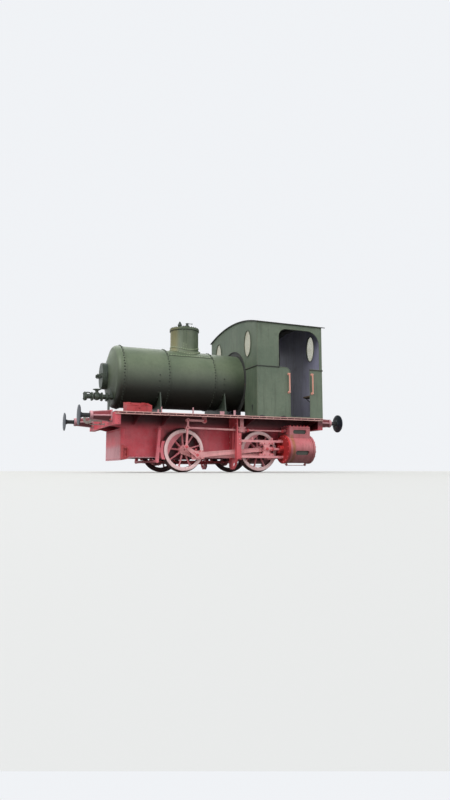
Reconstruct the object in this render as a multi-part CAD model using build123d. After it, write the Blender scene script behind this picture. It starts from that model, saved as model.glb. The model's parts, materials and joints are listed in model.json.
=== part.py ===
"""Fireless steam locomotive, 0-4-0, standard gauge, inside plate frames and outside cylinders.

All sizes are in millimetres. +X points forwards (to the end with the storage
vessel's manhole), +Y to the left-hand side and +Z up. The origin lies on the
centreline, midway between the buffer faces, level with the tips of the wheel
flanges, on which the locomotive stands.

The storage vessel is steel plate in three rings with two pressed heads. It lies
on saddles over a deep box frame. The cylinders sit under the cab at the rear
and drive the FRONT axle; the rear axle follows through coupling rods. The left
and right cranks are a quarter turn apart. Each eccentric rod hangs upright from
its return crank and works the valve rod that runs back to the steam chest.
"""
from build123d import *
import math
import os

# Wheels and track
BACK_TO_BACK = 1360.0          # between the tyres' backs, standard gauge
TYRE_WIDTH = 130.0
TREAD_RADIUS = 405.0
FLANGE_HEIGHT = 28.0
TYRE_THICKNESS = 58.0
RIM_THICKNESS = 38.0
RIM_WIDTH = 92.0
WHEEL_CENTRE_OFFSET = 8.0      # spokes and rim, outwards from the tyre's middle
SPOKES = 10
SPOKE_WIDTH_HUB = 52.0
SPOKE_WIDTH_RIM = 34.0
SPOKE_DEPTH = 58.0
HUB_RADIUS = 96.0
HUB_STAND_OUT = 12.0           # hub and crank boss beyond the tyre's outer face
BOSS_RADIUS = 74.0
BOSS_DEPTH = 104.0             # crank boss, along the pin
AXLE_RADIUS = 72.0
AXLE_SEAT_RADIUS = 62.0        # in the wheel's hub
COUNTERWEIGHT_SHIFT = 182.0    # crescent's inner edge, towards the crank
COUNTERWEIGHT_INNER = 34.0     # crescent's inner edge is this much larger in radius than the rim
COUNTERWEIGHT_THICKNESS = 116.0
WHEELBASE = 1620.0

# Driving motion
CRANK_RADIUS = 240.0
CRANK_ANGLE_LEFT = 204.8       # from +X towards +Z, as the locomotive stands
QUARTER = 90.0                 # right crank ahead of the left one
PIN_RADIUS = 38.0
PIN_COLLAR_RADIUS = 52.0
PIN_RUNNING_GAP = 0.06         # radial, in the rods' brasses
OPEN_PIVOT_GAP = 1.0           # radial, at the coupling rod's rear pin
ROD_SIDE_GAP = 6.0             # between neighbouring layers of the motion
COUPLING_ROD_THICKNESS = 44.0
COUPLING_ROD_DEPTH = 84.0
COUPLING_EYE_RADIUS = 80.0
FLUTE_MARGIN = 16.0            # rod left above and below a flute
FLUTE_END_GAP = 150.0          # flute's end short of the pin
MAIN_ROD_THICKNESS = 44.0
MAIN_ROD_DEPTH_BIG = 104.0
MAIN_ROD_DEPTH_SMALL = 78.0
SMALL_END_RADIUS = 58.0
WRIST_PIN_RADIUS = 27.0
BIG_END_LENGTH = 250.0
BIG_END_DEPTH = 168.0
BIG_END_TAIL = 95.0            # strap beyond the pin
FLUTE_DEPTH = 10.0
RETURN_CRANK_THICKNESS = 40.0
RETURN_CRANK_WIDTHS = (96.0, 66.0)
RETURN_CRANK_REACH = 57.0      # eccentric pin's distance from the axle
RETURN_CRANK_LAG = 136.4       # eccentric pin behind the crank, degrees
ECCENTRIC_PIN_RADIUS = 22.0
ECCENTRIC_ROD_THICKNESS = 34.0
ECCENTRIC_ROD_WIDTH = 34.0
ECCENTRIC_ROD_LENGTH = 517.0
ECCENTRIC_EYE_RADIUS = 46.0
LINK_EYE_RADIUS = 34.0

# Cylinders
CYLINDER_Y = 987.0
CYLINDER_AXIS_Z = 466.0
CYLINDER_BORE = 400.0
CYLINDER_OUTER_RADIUS = 278.0
CYLINDER_COVER_RADIUS = 292.0
CYLINDER_COVER_THICKNESS = 42.0
CYLINDER_LENGTH = 616.0
CYLINDER_TO_BEAM = 112.0       # rear end ahead of the rear beam's flanges
COVER_TO_WHEEL = 14.0          # front end behind the rear wheels' flanges
CHEST_SETBACK = 80.0           # from the cylinder's front end
CHEST_LENGTH = 480.0
CHEST_BOTTOM_RISE = 60.0       # above the cylinder's axis
CHEST_OUTER_Y = 1150.0
CHEST_TOP_Z = 932.0
CHEST_INNER_Y = 812.0
CYLINDER_SLOT_LENGTH = 310.0
CYLINDER_SLOT_HEIGHT = 84.0
CYLINDER_SLOT_DEPTH = 26.0
CHEST_SLOT_Z = 822.0
BARREL_SLOT_Z = 392.0
DRAIN_COCK_LENGTH = 58.0
PISTON_ROD_RADIUS = 27.0
GLAND_RADIUS = 78.0
GLAND_LENGTH = 86.0
VALVE_Z = 838.0
VALVE_Y = 978.0
VALVE_ROD_RADIUS = 16.0
SLIDE_BAR_HEIGHT = 46.0
SLIDE_BAR_WIDTH = 70.0
SLIDE_BAR_SPACING = 314.0      # between the two bars' centres
SLIPPER_HEIGHT = 38.0
SLIPPER_LENGTH = 300.0
SLIPPER_GAP = 0.3
SLIPPER_END_CLEARANCE = 42.0   # to the motion plate at the end of the stroke
CROSSHEAD_HUB_RADIUS = 58.0

# Valve motion
SWING_LINK_LENGTH = 366.0
SWING_PIVOT_BEHIND = 377.0     # of the front axle
SWING_PIVOT_Z = 998.0
VALVE_EYE_SHARE = 0.72         # along the eccentric rod from its lower pin
VALVE_ROD_DEPTH = 34.0
GUIDE_BEHIND_PLATE = 140.0     # what the valve rod is longer than from the front axle to the motion plate

# Frames and deck
LENGTH_OVER_BUFFERS = 5570.0
BUFFER_LENGTH = 605.0
BUFFER_SPACING = 1750.0
BUFFER_HEIGHT = 1040.0
BUFFER_HEAD_RADIUS = 188.0
BUFFER_HEAD_THICKNESS = 26.0
BUFFER_STEM_RADIUS = 42.0
BUFFER_CASE_LENGTH = 390.0
BUFFER_BASE_RADIUS = 128.0
BUFFER_NOSE_RADIUS = 74.0
BUFFER_BASE_THICKNESS = 24.0
BUFFER_BASE_SIZE = 300.0
FRAME_OUTER_Y = 640.0
FRAME_THICKNESS = 25.0
FRAME_BOTTOM_Z = 280.0
FRONT_PLATE_SETBACK = 240.0    # from the beam's face
FRONT_PLATE_THICKNESS = 20.0
FRONT_PLATE_DROP = 50.0        # below the side frames
STRETCHER_THICKNESS = 16.0
STRETCHER_FROM_AXLE = 475.0
DECK_TO_STRETCHER = 60.0
HORN_STAY_LENGTH = 380.0
HORN_STAY_DEPTH = 34.0
SPRING_LENGTH = 800.0
SPRING_WIDTH = 76.0
SPRING_LEAF = 14.0
SPRING_LEAVES = 6
SPRING_LEAF_STEP = 52.0        # each leaf is shorter by this at both ends
SPRING_RISE = 150.0            # top leaf above the axlebox
BEAM_HALF_WIDTH = 1200.0
BEAM_TOP_Z = 1093.0
BEAM_HEIGHT = 226.0
BEAM_WEB = 20.0
BEAM_FLANGE = 110.0
HOOK_Z = 1036.0
HOOK_REACH = 268.0             # hook's eye beyond the beam
HOOK_EYE_RADIUS = 42.0
HOOK_HEAD_RADIUS = 90.0
HOOK_THICKNESS = 34.0
DECK_HALF_WIDTH = 1220.0
DECK_TOP_Z = 1105.0
DECK_THICKNESS = 12.0
DECK_EDGE_HEIGHT = 48.0
DECK_EDGE_THICKNESS = 10.0
GUSSET_THICKNESS = 12.0
GUSSET_DEPTH = 190.0
AXLEBOX_WIDTH = 230.0
AXLEBOX_HEIGHT = 250.0
AXLEBOX_DEPTH = 120.0
HORN_GAP = 0.5                 # between an axlebox and its horns
MOTION_PLATE_THICKNESS = 28.0
MOTION_PLATE_BOTTOM_Z = 58.0
MOTION_PLATE_RIM = 52.0        # left below the rods' window
ROD_CLEARANCE = 6.0            # round the rods as they turn

# Storage vessel
VESSEL_AXIS_Z = 1909.0
VESSEL_RADIUS = 624.0          # outside the front ring
VESSEL_PLATE = 13.0            # step from one ring to the next
VESSEL_WALL = 20.0
VESSEL_SETBACK = 264.0         # front ring's edge behind the beam's face
RING_LENGTH = 984.0
HEAD_DEPTH = 208.0
HEAD_FLANGE = 80.0
HEAD_KNUCKLE = 95.0
DOME_FROM_SEAM = 477.0         # behind the front ring's seam
DOME_RADIUS = 296.0
DOME_TOP_Z = 3012.0
DOME_FLANGE_RADIUS = 312.0
DOME_FLANGE_THICKNESS = 44.0
MANHOLE_RADIUS_Z = 268.0
MANHOLE_RADIUS_Y = 215.0
MANHOLE_NECK = 66.0
MANHOLE_LID_THICKNESS = 22.0
MANHOLE_BRIDGE = 46.0
SADDLE_FROM_SEAM = 200.0
SADDLE_THICKNESS = 26.0
SADDLE_HALF_WIDTH = 600.0
SADDLE_FOOT_LENGTH = 180.0
SADDLE_FOOT_THICKNESS = 18.0

# Cab
CAB_SETBACK = 4.0              # rear wall ahead of the beam's face
CAB_LENGTH = 1512.0
CAB_HALF_WIDTH = 1220.0
CAB_SHEET = 8.0
CAB_EAVE_Z = 3035.0
ROOF_RISE = 172.0
ROOF_SHEET = 14.0
ROOF_OVERHANG_FRONT = 26.0
ROOF_OVERHANG_REAR = 74.0
ROOF_OVERHANG_SIDE = 28.0
ROOF_EDGE = 34.0
WAIST_Z = 2128.0
VESSEL_HOLE_GAP = 96.0
WINDOW_Y = 775.0
WINDOW_Z = 2655.0
WINDOW_HALF_WIDTH = 145.0
WINDOW_HALF_HEIGHT = 264.0
GLASS_THICKNESS = 6.0
OPENING_FRONT_MARGIN = 262.0   # window opening ahead of the doorway
OPENING_REAR_MARGIN = 56.0     # from the cab's rear
OPENING_TOP_Z = 2935.0
OPENING_CORNER_FRONT = 170.0
OPENING_CORNER_REAR = 290.0
SILL_CORNER = 110.0
DOOR_WIDTH = 470.0
DOOR_FROM_REAR = 294.0
DOOR_SILL = 20.0
BEADING_WIDTH = 28.0
BEADING_THICKNESS = 9.0
RIM_BREADTH = 22.0
RIM_THICKNESS_OUT = 6.0
HANDRAIL_RADIUS = 15.0
HANDRAIL_STAND_OUT = 46.0
HANDRAIL_LOW_Z = 1600.0
HANDRAIL_LENGTH = 410.0
CONTROLS_BEHIND_WALL = 416.0
CONTROLS_Y = 900.0

# Fittings
FILLING_Z = 1462.0
FILLING_Y = 250.0
FILLING_REACH = 380.0          # beyond the beam's face
FILLING_BEND_REACH = 110.0     # bend beyond the vessel's front ring
FILLING_PIPE_RADIUS = 48.0
FILLING_PIPE_WALL = 12.0
FILLING_FLANGE_RADIUS = 86.0
FILLING_FLANGE_THICKNESS = 24.0
FILLING_VALVE_SETBACK = 230.0  # from the end flange's face
FILLING_VALVE_LENGTH = 192.0
TOOLBOX_SETBACK = 220.0        # from the beam's face
TOOLBOX_LENGTH = 480.0
TOOLBOX_Y = (900.0, 1160.0)
TOOLBOX_HEIGHTS = (190.0, 120.0)   # at the vessel and at the board's edge
BRAKE_SHOE_GAP = 9.0
BRAKE_SHOE_TOP_Z = 600.0
BRAKE_SHOE_BOTTOM_Z = 250.0
BRAKE_PIVOT_AHEAD = 492.0      # of the axle
BRAKE_PIVOT_Z = 826.0
BRAKE_BEAM_Z = 212.0
BRAKE_BEAM_RADIUS = 26.0
BRAKE_SHOE_THICKNESS = 56.0
BRAKE_SHOE_WIDTH = 66.0
BRAKE_LUG_HEIGHT = 90.0        # between a shoe and its hanger
BRAKE_FOOT_AHEAD = 38.0        # of the pivot
BRAKE_FOOT_RADIUS = 32.0
BRAKE_TO_PLATE = 5.0
LUG_Y = 1190.0
GUARD_BRACKET_DEPTH = 46.0
GUARD_BRACKET_LENGTH = 140.0
MOTION_FLANGE = 12.0
GUIDE_LENGTH = 160.0
GUIDE_BLOCK_LENGTH = 130.0

# Worked out
AXLE_Z = TREAD_RADIUS + FLANGE_HEIGHT
BEAM_X = LENGTH_OVER_BUFFERS / 2 - BUFFER_LENGTH
CYLINDER_REAR_X = -BEAM_X + BEAM_FLANGE + CYLINDER_TO_BEAM
CYLINDER_FRONT_X = CYLINDER_REAR_X + CYLINDER_LENGTH
CHEST_FRONT_X = CYLINDER_FRONT_X - CHEST_SETBACK
CHEST_REAR_X = CHEST_FRONT_X - CHEST_LENGTH
REAR_AXLE_X = CYLINDER_FRONT_X + COVER_TO_WHEEL + AXLE_Z
FRONT_AXLE_X = REAR_AXLE_X + WHEELBASE
PLATE_REAR_X = REAR_AXLE_X + BRAKE_PIVOT_AHEAD + BRAKE_FOOT_AHEAD + BRAKE_FOOT_RADIUS + BRAKE_TO_PLATE
MOTION_PLATE_X = PLATE_REAR_X + MOTION_PLATE_THICKNESS
CROSSHEAD_MIDDLE_X = PLATE_REAR_X - SLIPPER_END_CLEARANCE - SLIPPER_LENGTH / 2 - CRANK_RADIUS
MAIN_ROD_LENGTH = FRONT_AXLE_X - CROSSHEAD_MIDDLE_X
SWING_PIVOT_X = FRONT_AXLE_X - SWING_PIVOT_BEHIND
VALVE_ROD_LENGTH = FRONT_AXLE_X - MOTION_PLATE_X + GUIDE_BEHIND_PLATE
FRAME_FRONT_X = BEAM_X - FRONT_PLATE_SETBACK
VESSEL_FRONT_X = BEAM_X - VESSEL_SETBACK
DOME_X = VESSEL_FRONT_X - RING_LENGTH - DOME_FROM_SEAM
SADDLE_XS = (VESSEL_FRONT_X - RING_LENGTH + SADDLE_FROM_SEAM,
             VESSEL_FRONT_X - 2 * RING_LENGTH - SADDLE_FROM_SEAM)
CAB_REAR_X = -BEAM_X + CAB_SETBACK
CAB_FRONT_X = CAB_REAR_X + CAB_LENGTH
DOOR_REAR_X = CAB_REAR_X + DOOR_FROM_REAR
DOOR_FRONT_X = DOOR_REAR_X + DOOR_WIDTH
OPENING_FRONT_X = DOOR_FRONT_X + OPENING_FRONT_MARGIN
OPENING_REAR_X = CAB_REAR_X + OPENING_REAR_MARGIN
FILLING_END_X = BEAM_X + FILLING_REACH
FILLING_VALVE_X = FILLING_END_X - FILLING_VALVE_SETBACK
TYRE_BACK_Y = BACK_TO_BACK / 2
TYRE_FACE_Y = TYRE_BACK_Y + TYRE_WIDTH
BOSS_FACE_Y = TYRE_FACE_Y + HUB_STAND_OUT
COUPLING_Y0 = BOSS_FACE_Y + ROD_SIDE_GAP
COUPLING_Y1 = COUPLING_Y0 + COUPLING_ROD_THICKNESS
MAIN_Y0 = COUPLING_Y1 + ROD_SIDE_GAP + 2.0
MAIN_Y1 = MAIN_Y0 + MAIN_ROD_THICKNESS
CRANK_Y0 = MAIN_Y1 + ROD_SIDE_GAP + 2.0
CRANK_Y1 = CRANK_Y0 + RETURN_CRANK_THICKNESS
ECC_Y0 = CRANK_Y1 + ROD_SIDE_GAP
ECC_Y1 = ECC_Y0 + ECCENTRIC_ROD_THICKNESS
DECK_BOTTOM_Z = DECK_TOP_Z - DECK_THICKNESS
BAR_Y0 = CYLINDER_Y - SLIDE_BAR_WIDTH / 2
BAR_Y1 = CYLINDER_Y + SLIDE_BAR_WIDTH / 2
ROOF_RADIUS = (CAB_HALF_WIDTH ** 2 + ROOF_RISE ** 2) / (2 * ROOF_RISE)
ROOF_CENTRE_Z = CAB_EAVE_Z + ROOF_RISE - ROOF_RADIUS
RING_RADII = tuple(VESSEL_RADIUS - VESSEL_PLATE * n for n in range(3))
HEAD_CROWN = HEAD_DEPTH - HEAD_KNUCKLE
STRETCHER_XS = (FRONT_AXLE_X + STRETCHER_FROM_AXLE + 50, FRONT_AXLE_X - STRETCHER_FROM_AXLE,
                REAR_AXLE_X + STRETCHER_FROM_AXLE, CYLINDER_FRONT_X, CYLINDER_REAR_X)
GUSSET_XS = (FRAME_FRONT_X - 250, SADDLE_XS[0], REAR_AXLE_X + 290, -BEAM_X + BEAM_FLANGE + 20)
LUGS = ((BEAM_X - 810, 60.0, 30.0), (BEAM_X - 874, 110.0, 18.0), (BEAM_X - 1496, 120.0, 22.0),
        (BEAM_X - 2096, 70.0, 90.0), (BEAM_X - 2360, 100.0, 40.0))     # x, height, width
SIDES = {"left": 1, "right": -1}


# Shapes
def block(x0, x1, y0, y1, z0, z1):
    """Box between two corners, given in any order."""
    low = (min(x0, x1), min(y0, y1), min(z0, z1))
    size = (abs(x1 - x0), abs(y1 - y0), abs(z1 - z0))
    return Pos(*low) * Box(*size, align=(Align.MIN, Align.MIN, Align.MIN))


def bar_x(x0, x1, y, z, radius):
    """Round bar along X."""
    return Pos((x0 + x1) / 2, y, z) * Rot(0, 90, 0) * Cylinder(radius, abs(x1 - x0))


def bar_y(x, y0, y1, z, radius):
    """Round bar along Y."""
    return Pos(x, (y0 + y1) / 2, z) * Rot(90, 0, 0) * Cylinder(radius, abs(y1 - y0))


def bar_z(x, y, z0, z1, radius):
    """Round bar along Z."""
    return Pos(x, y, (z0 + z1) / 2) * Cylinder(radius, abs(z1 - z0))


def side_plate(face, y0, y1):
    """A sketch drawn in X and Z, thickened from y0 to y1."""
    low, high = min(y0, y1), max(y0, y1)
    return Pos(0, high, 0) * Rot(90, 0, 0) * extrude(face, high - low)


def cross_plate(face, x0, x1):
    """A sketch drawn in Y and Z, thickened from x0 to x1."""
    low, high = min(x0, x1), max(x0, x1)
    return extrude(Plane(origin=(low, 0, 0), x_dir=(0, 1, 0), z_dir=(1, 0, 0)) * face, high - low)


def polygon(points):
    """Closed face through the points."""
    return make_face(Polyline(*points, close=True))


def turned_x(profile):
    """Solid of revolution about the X axis from (x, radius) points."""
    return revolve(make_face(Polyline(*[(x, 0, r) for x, r in profile], close=True)), Axis.X)


def polar(radius, degrees):
    """Offset (dx, dz) at an angle from +X towards +Z."""
    return radius * math.cos(math.radians(degrees)), radius * math.sin(math.radians(degrees))


def circles_meet(a, radius_a, b, radius_b):
    """Upper point of the two at which two circles in the XZ plane cross."""
    dx, dz = b[0] - a[0], b[1] - a[1]
    span = math.hypot(dx, dz)
    along = (span ** 2 + radius_a ** 2 - radius_b ** 2) / (2 * span)
    off = math.sqrt(radius_a ** 2 - along ** 2)
    mid = (a[0] + along * dx / span, a[1] + along * dz / span)
    return max((mid[0] - off * dz / span, mid[1] + off * dx / span),
               (mid[0] + off * dz / span, mid[1] - off * dx / span), key=lambda p: p[1])


# Motion geometry
def crank_angle(side):
    """Angle of a side's crank pin."""
    return CRANK_ANGLE_LEFT + (QUARTER if side < 0 else 0.0)


def crank_pin(side, axle_x):
    """Centre of a crank pin."""
    dx, dz = polar(CRANK_RADIUS, crank_angle(side))
    return axle_x + dx, AXLE_Z + dz


def eccentric_pin(side):
    """Centre of the return crank's pin."""
    dx, dz = polar(RETURN_CRANK_REACH, crank_angle(side) - RETURN_CRANK_LAG)
    return FRONT_AXLE_X + dx, AXLE_Z + dz


def eccentric_top(side):
    """Upper end of the eccentric rod, where the swing link steers it."""
    return circles_meet(eccentric_pin(side), ECCENTRIC_ROD_LENGTH,
                        (SWING_PIVOT_X, SWING_PIVOT_Z), SWING_LINK_LENGTH)


def valve_eye(side):
    """Where the valve rod is pinned to the eccentric rod."""
    low, top = eccentric_pin(side), eccentric_top(side)
    return (low[0] + VALVE_EYE_SHARE * (top[0] - low[0]),
            low[1] + VALVE_EYE_SHARE * (top[1] - low[1]))


def guide_block_x(side):
    """Centre of the valve rod's guide block."""
    eye = valve_eye(side)
    return eye[0] - math.sqrt(VALVE_ROD_LENGTH ** 2 - (eye[1] - VALVE_Z) ** 2)


def crosshead_x(side):
    """Centre of the crosshead."""
    pin = crank_pin(side, FRONT_AXLE_X)
    return pin[0] - math.sqrt(MAIN_ROD_LENGTH ** 2 - (pin[1] - CYLINDER_AXIS_Z) ** 2)


def link_bar(a, b, width_a, width_b, y0, y1):
    """Flat bar between two centres, with a round eye at each."""
    angle = math.degrees(math.atan2(b[1] - a[1], b[0] - a[0]))
    length = math.hypot(b[0] - a[0], b[1] - a[1])
    face = polygon([(0, -width_a / 2), (length, -width_b / 2), (length, width_b / 2), (0, width_a / 2)])
    return side_plate(Pos(a[0], a[1]) * Rot(0, 0, angle) * face, y0, y1)


# Wheels
def tyre_profile():
    """Tyre with its flange, radius against distance from the tyre's back."""
    inner = TREAD_RADIUS - TYRE_THICKNESS
    tip = TREAD_RADIUS + FLANGE_HEIGHT
    return [(inner, 0), (tip - 12, 0), (tip, 10), (tip, 20), (tip - 10, 30),
            (TREAD_RADIUS + 2, 40), (TREAD_RADIUS - 2, TYRE_WIDTH - 8),
            (TREAD_RADIUS - 8, TYRE_WIDTH), (inner, TYRE_WIDTH)]


def wheel(side, axle_x, driven):
    """Spoked wheel with tyre, crank boss, crank pin and counterweight."""
    inner = TREAD_RADIUS - TYRE_THICKNESS
    rim_inner = inner - RIM_THICKNESS
    back, face = TYRE_BACK_Y, TYRE_FACE_Y
    middle = (back + face) / 2 + WHEEL_CENTRE_OFFSET
    points = [(r, back + w) for r, w in tyre_profile()]
    tyre = revolve(make_face(Polyline(*[(r, y, 0) for r, y in points], close=True)), Axis.Y)
    rim = bar_y(0, middle - RIM_WIDTH / 2, middle + RIM_WIDTH / 2, 0, inner + 2)
    rim -= bar_y(0, back, face, 0, rim_inner)
    body = tyre + rim + bar_y(0, back - 8, BOSS_FACE_Y, 0, HUB_RADIUS)
    angle = crank_angle(side)
    for n in range(SPOKES):
        turn = angle + (n + 0.5) * 360 / SPOKES
        r0, r1 = HUB_RADIUS - 14, rim_inner + 6
        spoke = polygon([(r0, -SPOKE_WIDTH_HUB / 2), (r1, -SPOKE_WIDTH_RIM / 2),
                         (r1, SPOKE_WIDTH_RIM / 2), (r0, SPOKE_WIDTH_HUB / 2)])
        body += Rot(0, -turn, 0) * side_plate(spoke, middle - SPOKE_DEPTH / 2, middle + SPOKE_DEPTH / 2)
    dx, dz = polar(CRANK_RADIUS, angle)
    boss = bar_y(dx, BOSS_FACE_Y - BOSS_DEPTH, BOSS_FACE_Y, dz, BOSS_RADIUS)
    web = side_plate(Rot(0, 0, angle) * polygon(
        [(0, -HUB_RADIUS * 0.9), (CRANK_RADIUS, -BOSS_RADIUS * 0.9),
         (CRANK_RADIUS, BOSS_RADIUS * 0.9), (0, HUB_RADIUS * 0.9)]), BOSS_FACE_Y - BOSS_DEPTH + 6,
                     BOSS_FACE_Y - 4)
    body += boss + web
    shift = polar(COUNTERWEIGHT_SHIFT, angle)
    crescent = side_plate(Circle(rim_inner + 4) - Pos(*shift) * Circle(rim_inner + COUNTERWEIGHT_INNER),
                          middle - COUNTERWEIGHT_THICKNESS / 2, middle + COUNTERWEIGHT_THICKNESS / 2)
    body += crescent
    pin_end = CRANK_Y0 if driven else COUPLING_Y1
    body += bar_y(dx, BOSS_FACE_Y - 2, pin_end + (0 if driven else 2), dz, PIN_RADIUS)
    if not driven:
        body += bar_y(dx, COUPLING_Y1 + 1.5, COUPLING_Y1 + ROD_SIDE_GAP, dz, PIN_COLLAR_RADIUS)
    body -= bar_y(0, back - 20, BOSS_FACE_Y + 20, 0, AXLE_SEAT_RADIUS)
    if side < 0:
        body = mirror(body, Plane.XZ)
    return Pos(axle_x, 0, AXLE_Z) * body


def axle(axle_x):
    """Axle between the wheels, with its journals."""
    end = BOSS_FACE_Y
    shaft = bar_y(axle_x, -end, end, AXLE_Z, AXLE_SEAT_RADIUS)
    return shaft + bar_y(axle_x, -(TYRE_BACK_Y - 8), TYRE_BACK_Y - 8, AXLE_Z, AXLE_RADIUS)


def return_crank(side):
    """Arm on the driven crank pin that carries the eccentric pin."""
    a, b = crank_pin(side, FRONT_AXLE_X), eccentric_pin(side)
    arm = link_bar(a, b, *RETURN_CRANK_WIDTHS, CRANK_Y0, CRANK_Y1)
    arm += bar_y(a[0], CRANK_Y0, CRANK_Y1, a[1], RETURN_CRANK_WIDTHS[0] / 2 + 8)
    arm += bar_y(b[0], CRANK_Y0, CRANK_Y1, b[1], RETURN_CRANK_WIDTHS[1] / 2 + 5)
    arm += bar_y(b[0], CRANK_Y1 - 2, ECC_Y1 + 3, b[1], ECCENTRIC_PIN_RADIUS)
    arm += bar_y(b[0], ECC_Y1 + 2, ECC_Y1 + 10, b[1], ECCENTRIC_PIN_RADIUS + 10)
    return mirror(arm, Plane.XZ) if side < 0 else arm


# Rods
def coupling_rod(side):
    """Fluted rod between the front and rear crank pins."""
    front, rear = crank_pin(side, FRONT_AXLE_X), crank_pin(side, REAR_AXLE_X)
    rod = link_bar(rear, front, COUPLING_ROD_DEPTH, COUPLING_ROD_DEPTH, COUPLING_Y0, COUPLING_Y1)
    for centre in (front, rear):
        rod += bar_y(centre[0], COUPLING_Y0, COUPLING_Y1, centre[1], COUPLING_EYE_RADIUS)
    half = COUPLING_ROD_DEPTH / 2 - FLUTE_MARGIN
    for y0, y1 in ((COUPLING_Y1 - FLUTE_DEPTH, COUPLING_Y1 + 1),
                   (COUPLING_Y0 - 1, COUPLING_Y0 + FLUTE_DEPTH)):
        rod -= block(rear[0] + FLUTE_END_GAP, front[0] - FLUTE_END_GAP, y0, y1, front[1] - half,
                     front[1] + half)
    rod -= bar_y(front[0], COUPLING_Y0 - 1, COUPLING_Y1 + 1, front[1], PIN_RADIUS + PIN_RUNNING_GAP)
    rod -= bar_y(rear[0], COUPLING_Y0 - 1, COUPLING_Y1 + 1, rear[1], PIN_RADIUS + OPEN_PIVOT_GAP)
    return mirror(rod, Plane.XZ) if side < 0 else rod


def main_rod(side):
    """Connecting rod, strapped big end on the front crank pin, round small end."""
    big = crank_pin(side, FRONT_AXLE_X)
    small = (crosshead_x(side), CYLINDER_AXIS_Z)
    rod = link_bar(big, small, MAIN_ROD_DEPTH_BIG, MAIN_ROD_DEPTH_SMALL, MAIN_Y0, MAIN_Y1)
    angle = math.degrees(math.atan2(small[1] - big[1], small[0] - big[0]))
    strap = Pos(big[0], big[1]) * Rot(0, 0, angle) * Pos(BIG_END_LENGTH / 2 - BIG_END_TAIL, 0) \
        * RectangleRounded(BIG_END_LENGTH, BIG_END_DEPTH, 14)
    rod += side_plate(strap, MAIN_Y0, MAIN_Y1)
    rod += bar_y(small[0], MAIN_Y0, MAIN_Y1, small[1], SMALL_END_RADIUS)
    wide, narrow = MAIN_ROD_DEPTH_BIG / 2 - FLUTE_MARGIN - 4, MAIN_ROD_DEPTH_SMALL / 2 - FLUTE_MARGIN
    x0, x1 = BIG_END_LENGTH - 20, MAIN_ROD_LENGTH - SMALL_END_RADIUS - 52
    flute = Pos(big[0], big[1]) * Rot(0, 0, angle) \
        * polygon([(x0, -wide), (x1, -narrow), (x1, narrow), (x0, wide)])
    rod -= side_plate(flute, MAIN_Y1 - FLUTE_DEPTH, MAIN_Y1 + 1)
    rod -= side_plate(flute, MAIN_Y0 - 1, MAIN_Y0 + FLUTE_DEPTH)
    rod -= bar_y(big[0], MAIN_Y0 - 1, MAIN_Y1 + 1, big[1], PIN_RADIUS + PIN_RUNNING_GAP)
    rod -= bar_y(small[0], MAIN_Y0 - 1, MAIN_Y1 + 1, small[1], WRIST_PIN_RADIUS + 1)
    return mirror(rod, Plane.XZ) if side < 0 else rod


def eccentric_rod(side):
    """Upright rod from the eccentric pin to the swing link, with the valve eye."""
    low, top, eye = eccentric_pin(side), eccentric_top(side), valve_eye(side)
    rod = link_bar(low, top, ECCENTRIC_ROD_WIDTH, ECCENTRIC_ROD_WIDTH, ECC_Y0, ECC_Y1)
    rod += bar_y(low[0], ECC_Y0, ECC_Y1, low[1], ECCENTRIC_EYE_RADIUS)
    for centre in (top, eye):
        rod += bar_y(centre[0], ECC_Y0, ECC_Y1, centre[1], LINK_EYE_RADIUS + (6 if centre == eye else 0))
        rod -= bar_y(centre[0], ECC_Y0 - 1, ECC_Y1 + 1, centre[1], LINK_EYE_RADIUS * 0.42)
    rod -= bar_y(low[0], ECC_Y0 - 1, ECC_Y1 + 1, low[1], ECCENTRIC_PIN_RADIUS + PIN_RUNNING_GAP)
    return mirror(rod, Plane.XZ) if side < 0 else rod


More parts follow.
